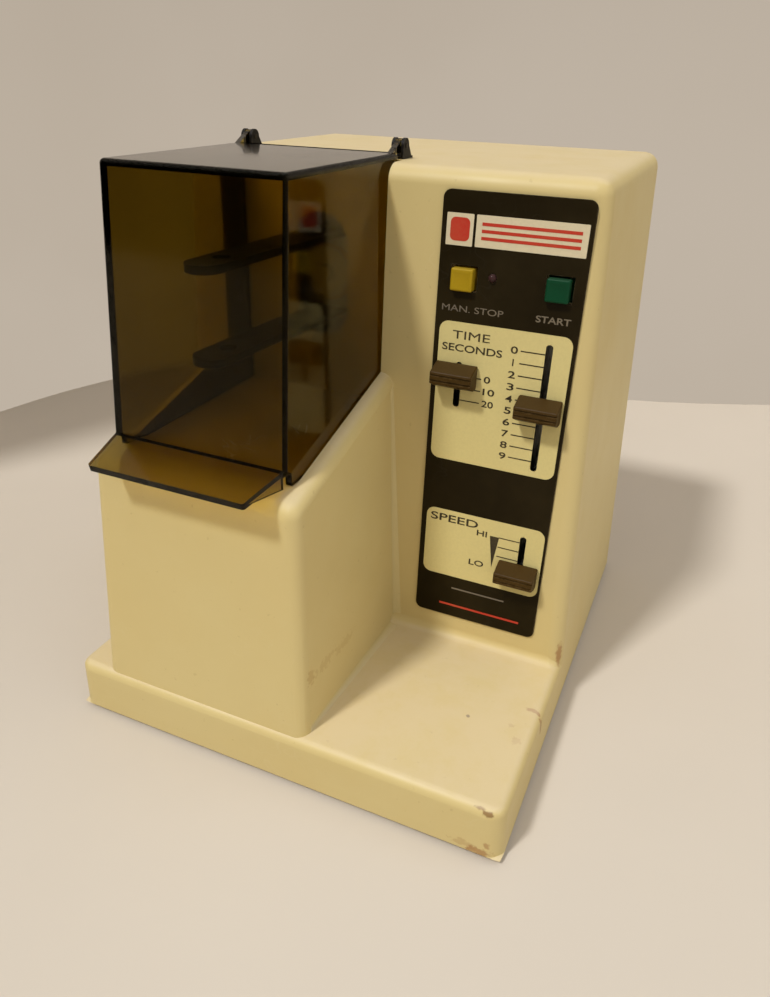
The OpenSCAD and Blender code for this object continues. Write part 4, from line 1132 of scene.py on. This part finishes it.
class MIXER_OT_works(Piece):
    """Motor, transformer and control board inside the housing"""

    bl_idname = "mixer.works"
    bl_label = "Inner works"

    def make(self, context):
        for finish, nodes in (
                ("plated_steel", ("motor_plate", "motor_screws", "board_screws", "tens_slide", "units_slide",
                                  "speed_slide")),
                ("black_rubber", ("motor_isolators",)), ("black_steel", ("motor_case",)),
                ("lamination", ("stator", "rotor", "transformer_core")),
                ("bronze", ("front_bearing", "rear_bearing")), ("bright_steel", ("motor_shaft",)),
                ("black_plastic", ("cooling_fan", "stop_switch", "start_switch")),
                ("copper_winding", ("transformer_coil",)), ("board_green", ("circuit_board",))):
            for node in nodes:
                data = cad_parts[node].data
                data.materials.clear()
                data.materials.append(material(finish))


class MIXER_OT_base(Piece):
    """Base plate, rubber feet, screws and the cord bush in the back wall"""

    bl_idname = "mixer.base"
    bl_label = "Base and back"

    def make(self, context):
        refine("base_plate", "bottom_plate", "black_steel", slot="plated_steel", edge=0.12)
        refine("base_screws", "bottom_screws", "plated_steel", edge=0.2)
        refine("cord_gland", "cord_bush", "black_rubber", slot="black_plastic")
        for where in ("front_left", "front_right", "rear_left", "rear_right"):
            refine(f"foot_{where}", f"rubber_foot_{where}", "black_rubber", edge=0.4)


# ---- stage


# Foot of the backdrop seen from above, in millimetres, from the left round to the far right.
BACKDROP = [(-430, -200), (-394, 119), (-375, 189), (-345, 262), (-290, 318), (-200, 350), (-80, 362),
            (64, 375), (180, 429), (620, 640), (1500, 1060)]


def stage_material(name, tone, wall=False):
    """Matt paper with a faint mottle. The wall shows its own tone, with a painted shade darkening it towards
    its top, and can't be seen from behind."""
    net = Finish(name, Roughness=0.75, Specular_IOR_Level=0.3)
    mottle = net.speckle(3.0, 4, 0.5, 0.3, 0.7)
    shade = net.mix(mottle, blend(tone, (0, 0, 0), 0.03), blend(tone, (1, 1, 1), 0.03))
    net.feed(net.shader.inputs["Base Color"], shade)
    if wall:
        path = net.node("LightPath").outputs
        shown = net.math("MAXIMUM", path["Is Camera Ray"],
                         net.math("MAXIMUM", path["Is Glossy Ray"], path["Is Transmission Ray"]))
        # Painted shade: the wall's tone is darkened by up to 16 % towards its top.
        dark = net.ramp(net.height_of(net.place), 0.15, 0.60, 0.0, 0.16)
        glow = net.node("Emission", Strength=1.0, Color=net.mix(dark, shade, (0, 0, 0)))
        front = net.node("MixShader", shown, net.shader.outputs[0], glow.outputs[0])
        both = net.node("MixShader", net.node("NewGeometry").outputs["Backfacing"], front.outputs[0],
                        net.node("BsdfTransparent").outputs[0])
        net.feed(net.end["Surface"], both.outputs[0])
    return net.made


def aim(obj, place, toward):
    """Puts obj at place, in metres, with its Z axis along toward."""
    obj.matrix_world = Matrix.Translation(place) @ toward.to_track_quat("Z", "Y").to_matrix().to_4x4()


def light(kind, name, energy):
    """A lamp still to be aimed."""
    clear()
    bpy.ops.object.light_add(type=kind, location=(0, 0, 1))
    lamp = bpy.context.object
    lamp.name = name
    lamp.data.energy = energy
    return lamp


class MIXER_OT_stage(Piece):
    """Pale floor and curved backdrop, soft lights and the camera"""

    bl_idname = "mixer.stage"
    bl_label = "Stage"

    def make(self, context):
        scene = context.scene
        scene.view_settings.view_transform = "Standard"
        clear()
        bpy.ops.mesh.primitive_plane_add(size=8, location=(0, 0, 0))
        floor = settle(bpy.context.object, "floor")
        floor.data.materials.append(stage_material("floor_paper", tuple(colours().floor)))
        wall = drawn_line("backdrop", [(*p, 0) for p in BACKDROP])
        extrude((0, 0, 0.9))
        select_all()
        bpy.ops.mesh.normals_make_consistent(inside=True)
        only(modifier(wall, "SUBSURF", levels=2, render_levels=2))
        bpy.ops.object.shade_smooth()
        wall.data.materials.append(stage_material("backdrop_paper", (0.51, 0.435, 0.35), True))
        self.lights(scene)
        self.camera(scene)

    def lights(self, scene):
        world = scene.world or bpy.data.worlds.new("studio")
        scene.world = world
        world.use_nodes = True
        net = Net(world.node_tree)
        sky = world.node_tree.nodes["Background"].inputs
        net.feed(sky[0], (1.0, 0.99, 0.97))
        seen = net.node("TexCoord").outputs["Generated"]
        lean = net.vector("DOT_PRODUCT", seen, (0.45, 0.1, 0.85))["Value"]
        glow = net.math("MAXIMUM", net.math("MULTIPLY_ADD", lean, 0.90, 0.19), 0.03)
        path = net.node("LightPath").outputs
        shown = net.math("MAXIMUM", path["Is Camera Ray"], path["Is Transmission Ray"])
        unseen = net.times(glow, net.math("SUBTRACT", 1.0, shown))
        net.feed(sky[1], net.math("ADD", unseen, net.times(shown, 0.6)))
        key = light("SUN", "key_light", 2.1)
        key.data.angle = math.radians(7)
        toward = Vector((-0.253, -0.538, 0.804))
        aim(key, toward, toward)
        card = light("AREA", "back_card", 3.0)
        card.data.shape = "RECTANGLE"
        card.data.size, card.data.size_y = 0.9, 0.5
        spot = Vector((-0.42, 0.85, 0.78))
        aim(card, spot, spot - Vector((0, 0, 0.15)))

    def camera(self, scene):
        clear()
        bpy.ops.object.camera_add(location=(0, 0, 0))
        cam = bpy.context.object
        cam.name = "view_camera"
        yaw, pitch, roll = (math.radians(a) for a in (-23.20, 28.80, 1.60))
        ahead = Vector((math.sin(yaw) * math.cos(pitch), math.cos(yaw) * math.cos(pitch), -math.sin(pitch)))
        right = Vector((math.cos(yaw), -math.sin(yaw), 0))
        up = right.cross(ahead)
        r = right * math.cos(roll) + up * math.sin(roll)
        u = up * math.cos(roll) - right * math.sin(roll)
        turn = Matrix((r, u, -ahead)).transposed().to_4x4()
        cam.matrix_world = Matrix.Translation((0.1245, -0.2914, 0.2478)) @ turn
        cam.data.sensor_width = 36
        cam.data.lens = 36 * 774.67 / 997
        cam.data.clip_start = 0.01
        cam.data.clip_end = 30
        scene.camera = cam


# ---- panel and registration


MAKERS = (MIXER_OT_stage, MIXER_OT_housing, MIXER_OT_cover, MIXER_OT_label, MIXER_OT_controls,
          MIXER_OT_hinges, MIXER_OT_arm, MIXER_OT_works, MIXER_OT_base)


class MIXER_PT_panel(bpy.types.Panel):
    """Lists the mixer's sizes, colours and pieces"""

    bl_idname = "MIXER_PT_panel"
    bl_label = "Capsule mixer"
    bl_space_type = "VIEW_3D"
    bl_region_type = "UI"
    bl_category = "Mixer"

    def draw(self, context):
        layout = self.layout
        for owner in (context.scene.mixer_sizes, context.scene.mixer_colours):
            box = layout.box()
            for key in owner.bl_rna.properties.keys():
                if key not in {"rna_type", "name"}:
                    box.prop(owner, key)
        for maker in MAKERS:
            layout.operator(maker.bl_idname)


CLASSES = (MixerSizes, MixerColours, *MAKERS, MIXER_PT_panel)


def register():
    for c in CLASSES:
        bpy.utils.register_class(c)
    bpy.types.Scene.mixer_sizes = bpy.props.PointerProperty(type=MixerSizes)
    bpy.types.Scene.mixer_colours = bpy.props.PointerProperty(type=MixerColours)


def unregister():
    del bpy.types.Scene.mixer_colours
    del bpy.types.Scene.mixer_sizes
    for c in reversed(CLASSES):
        bpy.utils.unregister_class(c)


def main():
    """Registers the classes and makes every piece."""
    register()
    for maker in MAKERS:
        group, name = maker.bl_idname.split(".")
        getattr(getattr(bpy.ops, group), name)()
    clear()


if __name__ == "__main__":
    main()
